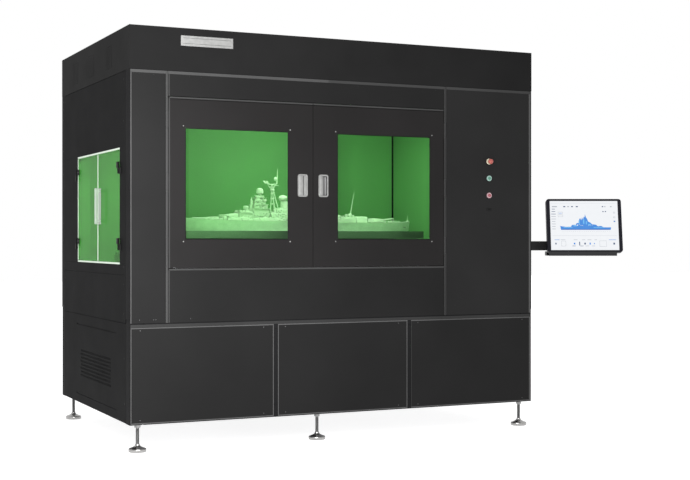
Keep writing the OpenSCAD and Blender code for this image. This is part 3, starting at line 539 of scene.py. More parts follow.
def panel_edge_beads():
    """Beads round the lower panels, under the cover, down the corners and beside the doors: painted
    highlight along the edges, darker as painted shade on the right.
    """
    edge, trim, ledge, cap, cap_shade = range(5)
    left, middle, right = PANELS_X
    tops = (PANEL_HI.z - 5.5, PANEL_HI.z + 0.5)
    bottoms = (PANEL_LO.z + 0.5, PANEL_LO.z + 6.5)
    low, high = PANEL_LO.z + 7, PANEL_HI.z - 6
    bm = bmesh.new()
    beads(bm, [(7.5, tops[0], left[1], tops[1]), (8, bottoms[0], left[1], bottoms[1])])
    beads(bm, [(7.5, low, 13, high), (877, low, left[1], high)])
    # The right lower panel's beads take the darker ledge tone: painted shade.
    for (x0, x1), mat in ((middle, edge), (right, ledge)):
        beads(bm, [(x0 + 0.4, tops[0], x1, tops[1]), (x0 + 0.4, bottoms[0], x1, bottoms[1])])
        beads(bm, [(x0 + 0.4, low, x0 + 5, high)], mat)
    beads(bm, [(1776, low, 1781, high), (2680, low, 2688, high)])
    # The cap bead is lighter over the left half and darker over the right: painted highlight and
    # painted shade.
    beads(bm, [(6, COLUMN_HI.z - 16, 1240, COLUMN_HI.z + 1)], cap, 1.4)
    beads(bm, [(1240, COLUMN_HI.z - 16, 2689, COLUMN_HI.z + 1)], cap_shade, 1.4)
    beads(bm, [(COLUMN_LO.x - 1, COLUMN_LO.z + 1, COLUMN_LO.x + 4.6, COLUMN_HI.z - 17)])
    beads(bm, [(RIGHT_HI.x - 11.5, RIGHT_LO.z + 1, RIGHT_HI.x - 0.5, RIGHT_HI.z - 17)])
    beads(bm, [(TOP_LO.x - 1.5, TOP_LO.z + 0.4, TOP_LO.x + 4.5, TOP_HI.z - 17)], trim, 1.6)
    beads(bm, [(FASCIA_LO.x - 1.5, FASCIA_LO.z + 0.4, FASCIA_LO.x + 4.5, FASCIA_HI.z - 11)], trim, 1.6)
    beads(bm, [(FASCIA_LO.x + 0.2, FASCIA_HI.z - 10.5, FASCIA_HI.x - 0.4, FASCIA_HI.z - 1)], trim)
    beads(bm, [(7, PANEL_HI.z + 1.5, 2692, PANEL_HI.z + 19)], ledge, 0.0)
    piece("panel_edge_beads", bm, "cabinet", ["edge", "trim", "ledge", "cap", "cap_shade"])


def panel_screw_heads():
    """Screws on the fixed front and side panels: some bare, the others painted over."""
    bare, painted = 0, 1
    bm = bmesh.new()
    for x0, x1 in PANELS_X:
        for x in (x0 + 49, x1 - 64):
            for z in (186, 697):
                screw(bm, (x, -0.2, z), "front", 3.4, bare)
    for x in (57, 143):
        screw(bm, (x, -0.2, 2160), "front", 3.0, painted)
    for x in (60, 142, 156, 364):
        screw(bm, (x, -0.2, 758), "front", 3.0, bare)
    for x in (TOP_LO.x + 126, TOP_LO.x + 194, 1440, TOP_HI.x - 60):
        screw(bm, (x, -0.2, 2158), "front", 3.0, painted)
    for z in (798, 2124):
        for x in (RIGHT_LO.x + 60, RIGHT_HI.x - 50):
            screw(bm, (x, -0.2, z), "front", 3.0, painted)
    for y in (110, 1550):
        for z in (790, 960, 1060, 1900, 2140):
            screw(bm, (0.2, y, z), "left", 3.2, painted)
        for z in (272, 533):
            screw(bm, (3.2, y, z), "left", 3.2, painted)
    piece("panel_screw_heads", bm, "cabinet", ["screw", "faint_screw"], True, ["panel_screws"])


panel_edge_beads()
panel_screw_heads()

# ---- doors

# Lower ends of the door knuckles, their height, the hinge axis from the shell's edge, and
# the width and corner radius of a nose
KNUCKLES = (1130, 1495, 1860)
KNUCKLE_H = 100
HINGE_INSET = 9
NOSE, NOSE_CORNER = 18.2, 6.2


def hinge_nose(bm, x, z0, z1, size=NOSE, corner=NOSE_CORNER):
    """A square nose with rounded corners round a hinge axis."""
    upright = Matrix.Translation((x, 6, z0)) @ Matrix.Rotation(math.radians(90), 4, "X")
    add(bm, prism(round_rect(size, size, corner), z1 - z0, matrix=upright))


def hinge_axis(side):
    """The x of a door's hinge pins."""
    lo, hi = span(side + "_door_shell")
    return lo.x + HINGE_INSET if side == "left" else hi.x - HINGE_INSET


def edge_folds(side, body):
    """A raised fold along the top in a pale tone of painted highlight, a thin black strip under it as
    the painted shade of a groove, and a pale bead of painted highlight on the left door's hinge side.
    """
    lo, hi = span(side + "_door_shell")
    x0, x1 = (lo.x + 22.5, hi.x) if side == "left" else (lo.x, hi.x - 22.5)
    bm = bmesh.new()
    beads(bm, [(x0 + 0.6, hi.z - 9, x1 - 0.6, hi.z - 0.6)], 0, 0.7)
    beads(bm, [(x0 + 0.6, hi.z - 15, x1 - 0.6, hi.z - 11)], 1, 0.15)
    if side == "left":
        beads(bm, [(x0 - 3.0, lo.z + 0.6, x0 + 4.0, hi.z - 10)], 0, 0.7)
    piece(body + "_edge_folds", bm, body, ["trim", "vent"])


def knuckle_sleeves(side, body):
    """Sleeves round the knuckles. The right column panel stands closer to its hinge, so only
    a round sleeve can turn beside it."""
    size, corner = (NOSE, NOSE_CORNER) if side == "left" else (18.6, 9.2)
    bm = bmesh.new()
    for z in KNUCKLES:
        hinge_nose(bm, hinge_axis(side), z + 0.2, z + KNUCKLE_H - 0.2, size, corner)
    # The right sleeves take the darker ledge tone: painted shade.
    piece(body + "_knuckle_sleeves", bm, body, "trim" if side == "left" else "ledge", True)


def window_fittings(side, body):
    """The gasket and the screws round a window, and the clamp behind its pane."""
    lo, hi = span(side + "_door_window")
    # The cut-out in the shell is 15 mm smaller than the pane all round
    a, b = Vector((lo.x + 15, 0, lo.z + 15)), Vector((hi.x - 15, 0, hi.z - 15))
    gasket = sheet_panel("front", 1.2, (a.x, a.z), (b.x, b.z),
                         [(0.1, -0.8), (0.1, 0.4), (0.7, 0.9)],
                         ((a.x + 4, a.z + 4), (b.x - 4, b.z - 4)),
                         [(0.7, 0.9), (0.0, 0.4), (0.0, -0.8)])
    piece(body + "_gasket", gasket, body, "black")

    bm = bmesh.new()
    for x in (a.x - 12, b.x + 12):
        for z in (a.z - 12, b.z + 12):
            screw(bm, (x, -0.1, z), "front", 3.2)
    piece(body + "_screws", bm, body, "zinc", True)

    bm = bmesh.new()
    y0, y1 = hi.y + 0.2, hi.y + 4
    for z0, z1 in ((lo.z, lo.z + 14), (hi.z - 14, hi.z)):
        add(bm, block((lo.x, y0, z0), (hi.x, y1, z1), 0.8))
    for x0, x1 in ((lo.x, lo.x + 14), (hi.x - 14, hi.x)):
        add(bm, block((x0, y0, lo.z + 14.5), (x1, y1, hi.z - 14.5), 0.8))
    piece(body + "_pane_clamp", bm, body, "black")


def recessed_pull(side, body):
    """A flush pull: rounded rim, dark cup and finger lips."""
    rim, cup = 0, 1
    lo, hi = span(side + "_door_pull")
    mid = (lo + hi) / 2
    w, h = hi.x - lo.x, hi.z - lo.z
    # Outlines and heights from the rim's foot over its edge down to the cup's floor
    outer = round_rect(w, h, 14)
    spec = [(outer, 0.0), (outer, -1.6), (round_rect(w - 1.6, h - 1.6, 13.4), -2.4)]
    spec += [(round_rect(w - 12, h - 16, 8), -2.4), (round_rect(w - 14, h - 18, 7.2), -1.6)]
    spec += [(round_rect(w - 18, h - 22, 6), 13.0), (round_rect(w - 26, h - 30, 4), 15.5)]
    bm = bmesh.new()
    loops = [[bm.verts.new((mid.x + x, y, mid.z + z)) for x, z in pts] for pts, y in spec]
    for k, (l0, l1) in enumerate(zip(loops, loops[1:])):
        for i in range(len(l0)):
            j = (i + 1) % len(l0)
            f = bm.faces.new((l0[i], l0[j], l1[j], l1[i]))
            f.material_index = cup if k > 3 else rim
    bm.faces.new(loops[-1]).material_index = cup
    # The lips leave a narrow slot in the left pull and a wide one in the right
    x0, x1 = lo.x + 7.6, hi.x - 7.6
    parts = ((0, 0.6), (0.7, 1)) if side == "left" else ((0, 0.42),)
    for start, end in parts:
        add(bm, block((x0 + start * (x1 - x0), -2.2, mid.z - h / 2 + 9.6),
                      (x0 + end * (x1 - x0), 2.2, mid.z + h / 2 - 9.6), 1.2, 3))
    piece(body + "_recessed_pull", bm, body, ["satin", "cup"], True, [side + "_door_pull"])


def trim_noses():
    """The fixed noses on both hinge axes, between the knuckles."""
    trim_lo, trim_hi = span("hinge_trims")
    bm = bmesh.new()
    # The left noses take the trim tone and the right ones the darker ledge tone: painted shade on the
    # right.
    for mat, side in enumerate(("left", "right")):
        starts = [trim_lo.z] + [z + KNUCKLE_H for z in KNUCKLES]
        nose = bmesh.new()
        for z0, z1 in zip(starts, [*KNUCKLES, trim_hi.z]):
            hinge_nose(nose, hinge_axis(side), z0 + 0.6, z1 - 0.6)
        add(bm, finished(nose, mat))
    piece("hinge_trim_noses", bm, "cabinet", ["trim", "ledge"], True)


for side in ("left", "right"):
    reuse(side + "_door_shell", "door", 0.7)
    reuse(side + "_door_window", "pane", 0)
    for fitting in (edge_folds, knuckle_sleeves, window_fittings, recessed_pull):
        fitting(side, side + "_door")
reuse("hinge_trims", "trim", 0.4)
trim_noses()
reuse("door_hinge_pins", "zinc", 0.3)

# ---- push buttons

BUTTON_LO, BUTTON_HI = span("button_bodies")
BUTTON_X = (BUTTON_LO.x + BUTTON_HI.x) / 2


def middle_z(node):
    lo, hi = span(node)
    return (lo.z + hi.z) / 2


ESTOP_Z, START_Z, STOP_Z = map(middle_z, ("emergency_stop", "start_button", "stop_button"))


def outwards(profile, z, segments=48, mat=0):
    """A turned part whose height runs out of the front face."""
    m = Matrix.Translation(Vector((BUTTON_X, 0, z))) @ Matrix.Rotation(math.radians(90), 4, "X")
    return turned(profile, segments=segments, mat=mat, matrix=m)


def button_bodies():
    """Bezels, contact blocks and lock nuts, and the data port below them."""
    collar, device, black, green, red, panel = range(6)
    sleeve = [(9.4, -38), (11, -38), (11, -0.2)]
    bm = bmesh.new()
    add(bm, outwards(sleeve + [(19, 0.0), (19, 3.4), (17.8, 5.4), (15.5, 6.0), (14.5, 5.0),
                               (9.4, 5.0)], ESTOP_Z, mat=collar))
    for z, mat in ((START_Z, green), (STOP_Z, red)):
        add(bm, outwards(sleeve + [(18, 0.0), (18, 3.6), (17.0, 5.4), (15.2, 6.0), (13.4, 5.2),
                                   (9.4, 4.8)], z, mat=mat))
    for z in (ESTOP_Z, START_Z, STOP_Z):
        add(bm, block((BUTTON_X - 15, 40, z - 18), (BUTTON_X + 15, 74, z + 18), 1.5, mat=device))
        add(bm, outwards([(11, -12), (15.5, -12), (15.5, -4), (11, -4)], z, 6, device))
    port_z = BUTTON_LO.z + 8.5
    add(bm, block((BUTTON_X - 18, -2.6, port_z - 8.5), (BUTTON_X + 18, 0, port_z + 8.5), 1.6, 3,
                  panel))
    add(bm, block((BUTTON_X - 8, -2.9, port_z - 3), (BUTTON_X + 8, -2.4, port_z + 3), 0.2,
                  mat=black))
    piece("button_bodies_turned", bm, "cabinet",
          ["collar", "device", "black", "green_bezel", "red_bezel", "panel"], True,
          ["button_bodies"], 35)


def emergency_stop():
    """The mushroom, with raised arrows that show the way to turn it."""
    mushroom = outwards([(0, -24), (8.8, -24), (8.8, 11), (11, 12.6), (15.2, 14.6), (16.8, 17.4),
                         (17, 21), (16.4, 25), (14.6, 29), (11, 32.2), (6, 34.3), (0, 35)], ESTOP_Z)
    piece("estop_mushroom", mushroom, "estop", "red", True, ["emergency_stop"], 50)
    bm = bmesh.new()
    for k in range(3):
        for i in range(5):
            a = math.radians(120 * k + i * 14)
            spot = Vector((BUTTON_X + 9.5 * math.cos(a), -32.9, ESTOP_Z + 9.5 * math.sin(a)))
            add(bm, block((-1.5, -0.6, -1.3), (1.5, 0.6, 1.3), 0.4, 1, 0,
                          Matrix.Translation(spot) @ Matrix.Rotation(-a, 4, "Y")))
    piece("estop_turn_marks", bm, "estop", "red_lens")


button_bodies()
emergency_stop()
CAP = [(0, -24), (8.9, -24), (8.9, 8.2), (8.3, 9.8), (6.5, 10.6), (3.5, 10.9), (0, 11)]
piece("start_lens", outwards(CAP, START_Z), "start", "green_lens", True, ["start_button"],
      50)
piece("stop_lens", outwards(CAP, STOP_Z), "stop", "red_lens", True, ["stop_button"], 50)

# ---- cover, sides and rear

reuse("top_cover", "cover", 1.2, 3)
for node in ("left_upper_panel", "left_middle_panel", "left_lower_panel", "right_side_panel",
             "rear_panels", "service_door"):
    reuse(node, "side", 0.5)
reuse("base_frame", "frame", 1.5)
reuse("upper_frame", "frame", 1.5)
reuse("floor_pan", "galvanised", 0.3)


def vent_louvres():
    """Pressed louvre plates in the cover's sides: shallow lips in a nearly flush sheet."""
    lo, hi = span("vent_louvres")
    half, first, pitch, lips = 64.4, 12, 12.6, 9
    bm = bmesh.new()
    for side, offset in (("left", -0.2), ("right", CAB_W + 0.2)):
        for y in (lo.y + 64.5, (lo.y + hi.y) / 2 + 4, hi.y - 64.5):
            u = -y if side == "left" else y
            add(bm, sheet_panel(side, offset, (u - half, lo.z + 0.1), (u + half, hi.z - 0.1)))
            for i in range(lips):
                z = lo.z + first + i * pitch
                add(bm, block((u - 56, z, -0.4), (u + 56, z + 4.2, 0.9), 0.6, 2,
                              matrix=facing(side, offset)))
    piece("vent_louvres_pressed", bm, "cabinet", "cover", replaces=["vent_louvres"])


def bay_filters():
    """Dust filters behind the grille and the slots of the lower bay."""
    inner_x = span("left_lower_panel")[1].x
    bm = block((inner_x + 3, 330, 300), (inner_x + 7, 1260, 560), 1.0)
    for z in (220, 670):
        add(bm, block((inner_x + 0.6, 284, z - 15), (inner_x + 2.6, 1258, z + 15), 0.5, 1, 1))
    piece("bay_filters", bm, "cabinet", ["vent", "side"])


def blank_nameplate():
    """A blank plate at the left of the cover, with two plain ruled lines."""
    bm = block((305, -2.2, 2335), (625, 0, 2395), 1.2, 2)
    for z in (2348, 2380):
        add(bm, block((318, -2.6, z), (612, -2.0, z + 2), 0.3, mat=1))
    piece("blank_nameplate", bm, "cabinet", ["satin", "edge"])


vent_louvres()
bay_filters()
blank_nameplate()

# ---- feet

# Where the feet stand, and the heights of the pad, the thread and the lock nut
FEET_X = (65, 1190, CAB_W - 62)
FEET_Y = (60, CAB_D - 60)
PAD_TOP = 45.8
THREAD_Z, THREAD_PITCH, THREAD_TURNS = 46, 2.0, 45
STUD_R, STUD_TOP = 9.2, 159.6
PAD = [(0, 0), (47, 0), (50, 1.2), (51.5, 4), (51.5, 16), (50.5, 19), (46, 21.5), (36, 25),
       (24, 30), (16, 36), (13.4, 41), (12.6, 45.5), (0, PAD_TOP)]
NUT = [(10.2, 140), (17.2, 140), (18.6, 141.4), (18.6, 154.4), (17.2, 156), (10.2, 156)]


def levelling_feet():
    """Turned pads, and threaded studs with a lock nut under the frame."""
    thread = [(0, PAD_TOP + 0.1)]
    for i in range(THREAD_TURNS):
        z = THREAD_Z + i * THREAD_PITCH
        thread += [(STUD_R, z), (STUD_R + 0.8, z + THREAD_PITCH / 2)]
    thread += [(STUD_R, 136.5), (STUD_R, STUD_TOP - 0.1), (0, STUD_TOP)]
    pads, studs = bmesh.new(), bmesh.new()
    for x in FEET_X:
        for y in FEET_Y:
            add(pads, turned(PAD, (x, y, 0), segments=56))
            add(studs, turned(thread, (x, y, 0), segments=28))
            add(studs, turned(NUT, (x, y, 0), segments=6))
    piece("foot_pads_turned", pads, "cabinet", "pad", True, ["foot_pads"], 40)
    piece("foot_studs_threaded", studs, "cabinet", "stud", True, ["foot_studs"], 25)


levelling_feet()

# ---- side leaves

for side in ("front", "rear"):
    reuse("side_leaf_" + side, "leaf", 0)
reuse("fixed_hinge_halves", "black", 0.6)
reuse("side_window_seals", "seal", 1.0)


def leaf_hinges(bm, axis_y, way, heights):
    """Moving hinge halves: three knuckles, and a flange with two screws."""
    black, bright = 1, 2
    for z in heights:
        for k in range(3):
            z0 = z + k * 11.6
            knuckle = [(3.05, z0), (5.5, z0), (6, z0 + 0.5), (6, z0 + 10.9), (5.5, z0 + 11.4),
                       (3.05, z0 + 11.4)]
            add(bm, turned(knuckle, (-7, axis_y, 0), segments=28, mat=black))
        a, b = sorted((axis_y, axis_y + way * 52))
        add(bm, block((-6, a, z), (-1, b, z + 34.6), 1.0, 2, black))
        for dy in (20, 42):
            screw(bm, (-6, axis_y + way * dy, z + 17), "left", 4.2, bright)


def leaf_handle(bm, leaf_x, bar_x, edge_y):
    """A square bar on two feet, with a thin pale plate on the leaf behind it."""
    z0, z1 = 1310, 1530
    grip = edge_y - 74
    add(bm, block((bar_x, grip - 7, z0), (bar_x + 16, grip + 7, z1), 4, 4))
    add(bm, block((leaf_x - 0.7, grip, z0), (leaf_x + 0.2, edge_y - 2, z1), 0.2, 1))
    for z in (1322, 1504):
        add(bm, block((bar_x + 12, grip - 6, z), (0, grip + 6, z + 14), 2.5, 3))


def leaf_fittings(side):
    """Moving hinge halves, the seal on a leaf's rear edge and, on the front leaf, the handle."""
    node = side + "_leaf_hardware"
    lo, hi = span(node)
    l_lo, l_hi = span("side_leaf_" + side)
    axis_y, way = (lo.y + 6, 1) if side == "front" else (hi.y - 6, -1)
    seal_w = 12 if side == "front" else 10
    bm = bmesh.new()
    leaf_hinges(bm, axis_y, way, (l_lo.z + 105.3, l_hi.z - 104.7))
    add(bm, block((-0.6, l_hi.y - seal_w, l_lo.z + 1), (1.9, l_hi.y - 0.5, l_hi.z - 1), 0.8, 2, 3))
    if side == "front":
        leaf_handle(bm, l_lo.x, lo.x, l_hi.y)
    piece(side + "_leaf_fittings", bm, "side_door_" + side, ["handle", "black", "screw", "seal"],
          True, [node], 35)


leaf_fittings("front")
leaf_fittings("rear")

# ---- chamber

reuse("chamber_liner", "liner", 0.5)
liner_x = span("chamber_liner")[1].x - 2
joint = block((liner_x - 12, 1293, 1062), (liner_x - 1, 1299.5, 2048), 1.5)
piece("chamber_corner_joint", joint, "cabinet", "vent")
reuse("resin_vat", "stainless", 1.5, 3)
reuse("build_platform", "platform", 0.4, 1)
for node, mat, bevel in (
    ("work_deck", "stainless", 0.3), ("led_strips", "led", 1.5),
    ("optical_plate", "machined", 0.8), ("laser_units", "anodised", 1.2),
    ("scan_heads", "anodised", 1.2), ("lift_columns", "machined", 0.8),
    ("lift_screw_left", "ground", 0.2), ("lift_screw_right", "ground", 0.2),
    ("recoater_rails", "ground", 0.6), ("recoater", "stainless", 0.8),
    ("platform_frame", "column_liner", 0.8), ("electrical_plate", "zinc", 0.5),
    ("electrical_devices", "device", 1.5), ("lower_bay_units", "anodised", 2.0),
):
    reuse(node, mat, bevel)

# ---- monitor

for node in ("arm_bracket", "monitor_arm", "monitor_head", "monitor_tray"):
    reuse(node, "arm", 0.8)
reuse("monitor_housing", "bezel", 1.5, 3)
reuse("monitor_screen", "paper", 0)

# The screen's plane: it is turned and leans back as the monitor does at rest
SCREEN_LO, SCREEN_HI = span("monitor_screen")
YAW, LEAN = math.radians(25.2), math.radians(12)
NORMAL = Vector((-math.sin(YAW) * math.cos(LEAN), -math.cos(YAW) * math.cos(LEAN), math.sin(LEAN)))
ACROSS = Vector((math.cos(YAW), -math.sin(YAW), 0))
UPWARDS = NORMAL.cross(ACROSS)
SCREEN = Matrix.Translation((SCREEN_LO + SCREEN_HI) / 2 + NORMAL * 1.2) @ Matrix(
    [[ACROSS[i], -NORMAL[i], UPWARDS[i], 0] for i in range(3)] + [[0, 0, 0, 1]])
SCREEN_INKS = ["grid_grey", "ink", "sky", "paper", "pale_sky", "deep_sky"]
GREY, INK, SKY, PAPER, PALE, DEEP = range(6)


def on_screen(bm, x, z, w, h, mat, lift=0.25):
    """A flat mark on the screen, x to the right and z up from its centre."""
    add(bm, block((x - w / 2, -lift, z - h / 2), (x + w / 2, 0, z + h / 2), 0.1, 1, mat, SCREEN))


def tool_strips(bm, rng):
    """Rows and columns of marks above, beside and below the picture, without text."""
    on_screen(bm, 0, 152, 446, 0.8, GREY)
    on_screen(bm, 0, -70, 430, 1.0, GREY)
    for x, w in ((-196, 34), (-130, 14), (-104, 12), (-78, 12), (-46, 14), (126, 10), (142, 8),
                 (182, 10)):
        on_screen(bm, x, 129, w, 7, rng.choice((GREY, INK, INK)))
    for x in (128, 144):
        on_screen(bm, x, 95, 9, 6, INK)
    for i in range(9):
        on_screen(bm, -204, 112 - i * 17, rng.uniform(20, 32), 3.6, GREY if i > 2 else INK)
    on_screen(bm, -158, 76, 32, 34, GREY, 0.12)
    on_screen(bm, -158, 76, 29, 31, PAPER, 0.2)
    on_screen(bm, -158, 84, 20, 3, SKY)
    on_screen(bm, -158, 73, 22, 3, GREY)
    for z in (88, 56, 28):
        on_screen(bm, 202, z, 12, 10, GREY)
        on_screen(bm, 202, z, 8, 6, SKY if z < 40 else PAPER, 0.4)
    for x, w in ((-186, 34), (-146, 30), (-62, 26), (-8, 20), (30, 26), (72, 18), (184, 48)):
        on_screen(bm, x, -98, w, 3, SKY if w > 30 else GREY)
    for x, w, h in ((-194, 8, 12), (-142, 30, 36), (-70, 10, 12), (-36, 6, 26), (0, 10, 12),
                    (34, 8, 14), (62, 6, 8), (120, 46, 40), (194, 11, 13)):
        on_screen(bm, x, -124, w, h, GREY if w > 20 else rng.choice((INK, SKY)))
        if w > 20:
            on_screen(bm, x, -124, w - 3, h - 3, PAPER, 0.4)
    for x in (-74, -22, 14, 56):
        on_screen(bm, x, -140, 22, 3, INK if x < 0 else GREY)
    for i in range(26):
        on_screen(bm, -150 + i * 12.6, -42, 5, 1.4, GREY)


def ship_picture(bm, rng):
    """A side view of the printed ship, with light and dark parts on its outline."""
    outline = [(-162, -4), (-122, -10), (-90, -9), (-84, 3), (-60, 5), (-50, 16), (-38, 18),
               (-32, 44), (-26, 50), (-20, 36), (-14, 56), (-8, 40), (-2, 60), (3, 56), (7, 78),
               (11, 58), (19, 46), (26, 27), (40, 20), (52, 8), (78, 5), (90, -6), (110, -3),
               (130, -13), (178, -13), (175, -30), (-157, -30)]
    add(bm, prism(outline, -0.3, SKY, 0, SCREEN))
    for _ in range(16):
        on_screen(bm, rng.uniform(-70, 60), rng.uniform(-6, 16), rng.uniform(2, 6),
                  rng.uniform(2, 5), PAPER, 0.5)
    for x, z, w, h in ((-34, 22, 8, 24), (-4, 26, 9, 30), (14, 18, 7, 22), (-62, -2, 20, 8),
                       (34, 6, 18, 8), (-110, -14, 60, 4), (96, -14, 70, 4)):
        on_screen(bm, x, z, w, h, PALE, 0.55)
    on_screen(bm, 9, -27, 320, 5, DEEP, 0.5)


def screen_image():
    rng = random.Random(4)
    bm = bmesh.new()
    tool_strips(bm, rng)
    ship_picture(bm, rng)
    piece("screen_image", bm, "monitor", SCREEN_INKS)


screen_image()

# ---- the printed model

# A warship, the work piece on the platform. It rides on the platform, and nothing in the
# machine depends on it. Its y runs from its centre line, and its z from the platform's top.
BERTH = Matrix.Translation((0, 420, span("build_platform")[1].z))


def at(x, z):
    """A place on the ship's centre line."""
    return Matrix.Translation((x, 0, z))


def ship_hull():
    """The hull from sections (x, half breadth, deck height, keel breadth as a part of it)."""
    bm = bmesh.new()
    rows = [(408, 4, 84, 0.4), (450, 30, 80, 0.5), (520, 60, 75, 0.62), (620, 84, 68, 0.75),
            (760, 98, 64, 0.84), (1000, 106, 61, 0.88), (1300, 108, 58, 0.88),
            (1600, 102, 55, 0.86), (1800, 86, 55, 0.8), (1920, 66, 58, 0.7), (1985, 44, 62, 0.55),
            (2004, 30, 65, 0.5)]
    loops = []
    for x, half, top, keel in rows:
        pts = [(-half * keel, 0.2), (-half, top), (half, top), (half * keel, 0.2)]
        loops.append([bm.verts.new((x, y, z)) for y, z in pts])
    for a, b in zip(loops, loops[1:]):
        for i in range(4):
            j = (i + 1) % 4
            bm.faces.new((a[i], a[j], b[j], b[i]))
    bm.faces.new(loops[0])
    bm.faces.new(list(reversed(loops[-1])))
    return bm


def turret(bm, x, z, way, scale=1.0, guns=3, rise=0.05, reach=100):
    """A gun house on its barbette, with barrels that point along x."""
    w = 44 * scale
    place = at(x, z) @ Matrix.Diagonal((way, 1, 1, 1))
    add(bm, turned([(0, -30), (w * 0.8, -30), (w * 0.8, 0), (0, 0)], matrix=at(x, z)))
    house = [(-w, 0), (w * 0.7, 0), (w, 9 * scale), (w * 0.75, 26 * scale), (-w * 0.4, 31 * scale),
             (-w, 27 * scale)]
    middle = Matrix.Translation((0, -46 * scale, 1))
    add(bm, prism(house, 92 * scale, 0, 3.5 * scale, place @ middle))
    for g in range(guns):
        y = (g - (guns - 1) / 2) * 26 * scale
        gun = turned([(0, 0), (7, 0), (6, reach * 0.3), (4.4, reach * 0.36), (3.2, reach - 8),
                      (3.8, reach - 6), (3.6, reach), (0, reach)], segments=14)
        gun.transform(place @ Matrix.Translation((w * 0.7, y, 15 * scale))
                      @ Matrix.Rotation(math.radians(90) - rise, 4, "Y"))
        add(bm, gun)


def mast(bm, p, q, r0=2.6, r1=1.2):
    """A tapered spar between two points (x, y, z)."""
    p, q = Vector(p), Vector(q)
    spar = turned([(0, 0), (r0, 0), (r1, (q - p).length), (0, (q - p).length)], segments=10)
    spar.transform(Matrix.Translation(p) @ (q - p).to_track_quat("Z", "Y").to_matrix().to_4x4())
    add(bm, spar)


def deckhouse(bm, x0, x1, z0, z1, half, r=4.0):
    """A block across the centre line, as wide as half to each side."""
    add(bm, block((x0, -half, z0), (x1, half, z1), r, 2))


def director(bm, x, z, r):
    """A range-finder head: a drum with an arm across it."""
    add(bm, turned([(0, 0), (r * 0.6, 0), (r * 0.6, r * 0.5), (r, r * 0.6), (r, r * 1.4),
                    (r * 0.8, r * 1.75), (0, r * 1.8)], segments=20, matrix=at(x, z)))
    add(bm, rod(r * 0.22, r * 4.2, (x, -r * 2.1, z + r), "y", 0.6))


def small_arms(bm, seed, x0, x1, z, half, count):
    """Light guns, lockers and rafts along both sides of a deck."""
    rng = random.Random(seed)
    for _ in range(count):
        x = rng.uniform(x0, x1)
        y = rng.choice((-1, 1)) * half * rng.uniform(0.65, 0.98)
        kind = rng.random()
        size = rng.uniform(3.5, 8)
        if kind < 0.45:
            add(bm, block((x - size, y - size * 0.7, z - 1),
                          (x + size, y + size * 0.7, z + size * 1.5), 1.0, 1))
        elif kind < 0.8:
            mount = [(0, -1), (size, -1), (size, size), (size * 0.5, size * 1.3), (0, size * 1.3)]
            add(bm, turned(mount, (x, y, z), segments=12))
            outboard = 14 if y > 0 else -14
            muzzle = (x + rng.uniform(-14, 14), y + outboard, z + size + 12)
            mast(bm, (x, y, z + size), muzzle, 1.5, 0.9)
        else:
            add(bm, rod(size * 0.6, size * 2.4, (x - size, y, z + size * 0.6), "x", 0.8))


def ports(bm, seed, x0, x1, z0, z1, y, count):
    """Small dark boxes on a wall that faces the front: painted shade of openings and fittings."""
    rng = random.Random(seed)
    for _ in range(count):
        x, z = rng.uniform(x0, x1), rng.uniform(z0, z1)
        w, h = rng.uniform(1.6, 5), rng.uniform(1.5, 3.6)
        add(bm, block((x - w, y - 0.8, z - h), (x + w, y + 3, z + h), 0.4, 1, 2))


def forward_decks(bm):
    """Decks, gun houses and blocks from the bow to the bridge."""
    deckhouse(bm, 740, 1560, 54, 84, 70)
    deckhouse(bm, 1528, 1600, 50, 94, 62)
    turret(bm, 642, 66, -1, 0.74, 3, 0.03, 98)
    deckhouse(bm, 681, 705, 60, 80, 30, 3)
    deckhouse(bm, 701, 724, 60, 90, 46, 5)
    turret(bm, 768, 84, -1, 0.78, 3, 0.05, 50)
    deckhouse(bm, 800, 896, 82, 112, 58)
    deckhouse(bm, 806, 888, 109, 120, 62, 2)
    deckhouse(bm, 828, 872, 118, 130, 46, 2)
    director(bm, 866, 128, 17)
    add(bm, turned([(0, 0), (15, 0), (13, 26), (7, 56), (3, 84), (0, 98)], segments=16,
                   matrix=at(902, 118)))


def bridge_tower(bm):
    """The bridge in four steps, with its round head."""
    for x0, x1, z0, z1, half in ((897, 1002, 90, 140, 55), (903, 995, 140, 166, 46),
                                 (912, 986, 166, 190, 36), (926, 976, 190, 210, 26)):
        deckhouse(bm, x0, x1, z0, z1, half, 5)
        deckhouse(bm, x0 - 4, x1 + 4, z1 - 3, z1, half + 5, 1)
        ports(bm, z0, x0 + 6, x1 - 6, z0 + 4, z1 - 6, -half, 9)
        small_arms(bm, z1, x0 - 2, x1 + 2, z1, half + 4, 12)
    add(bm, turned([(0, 0), (10, 0), (9, 12), (21, 18), (23, 32), (19, 46), (8, 51), (0, 52)],
                   segments=22, matrix=at(958, 218)))
    add(bm, rod(3.6, 80, (958, -40, 246), "y", 0.8))


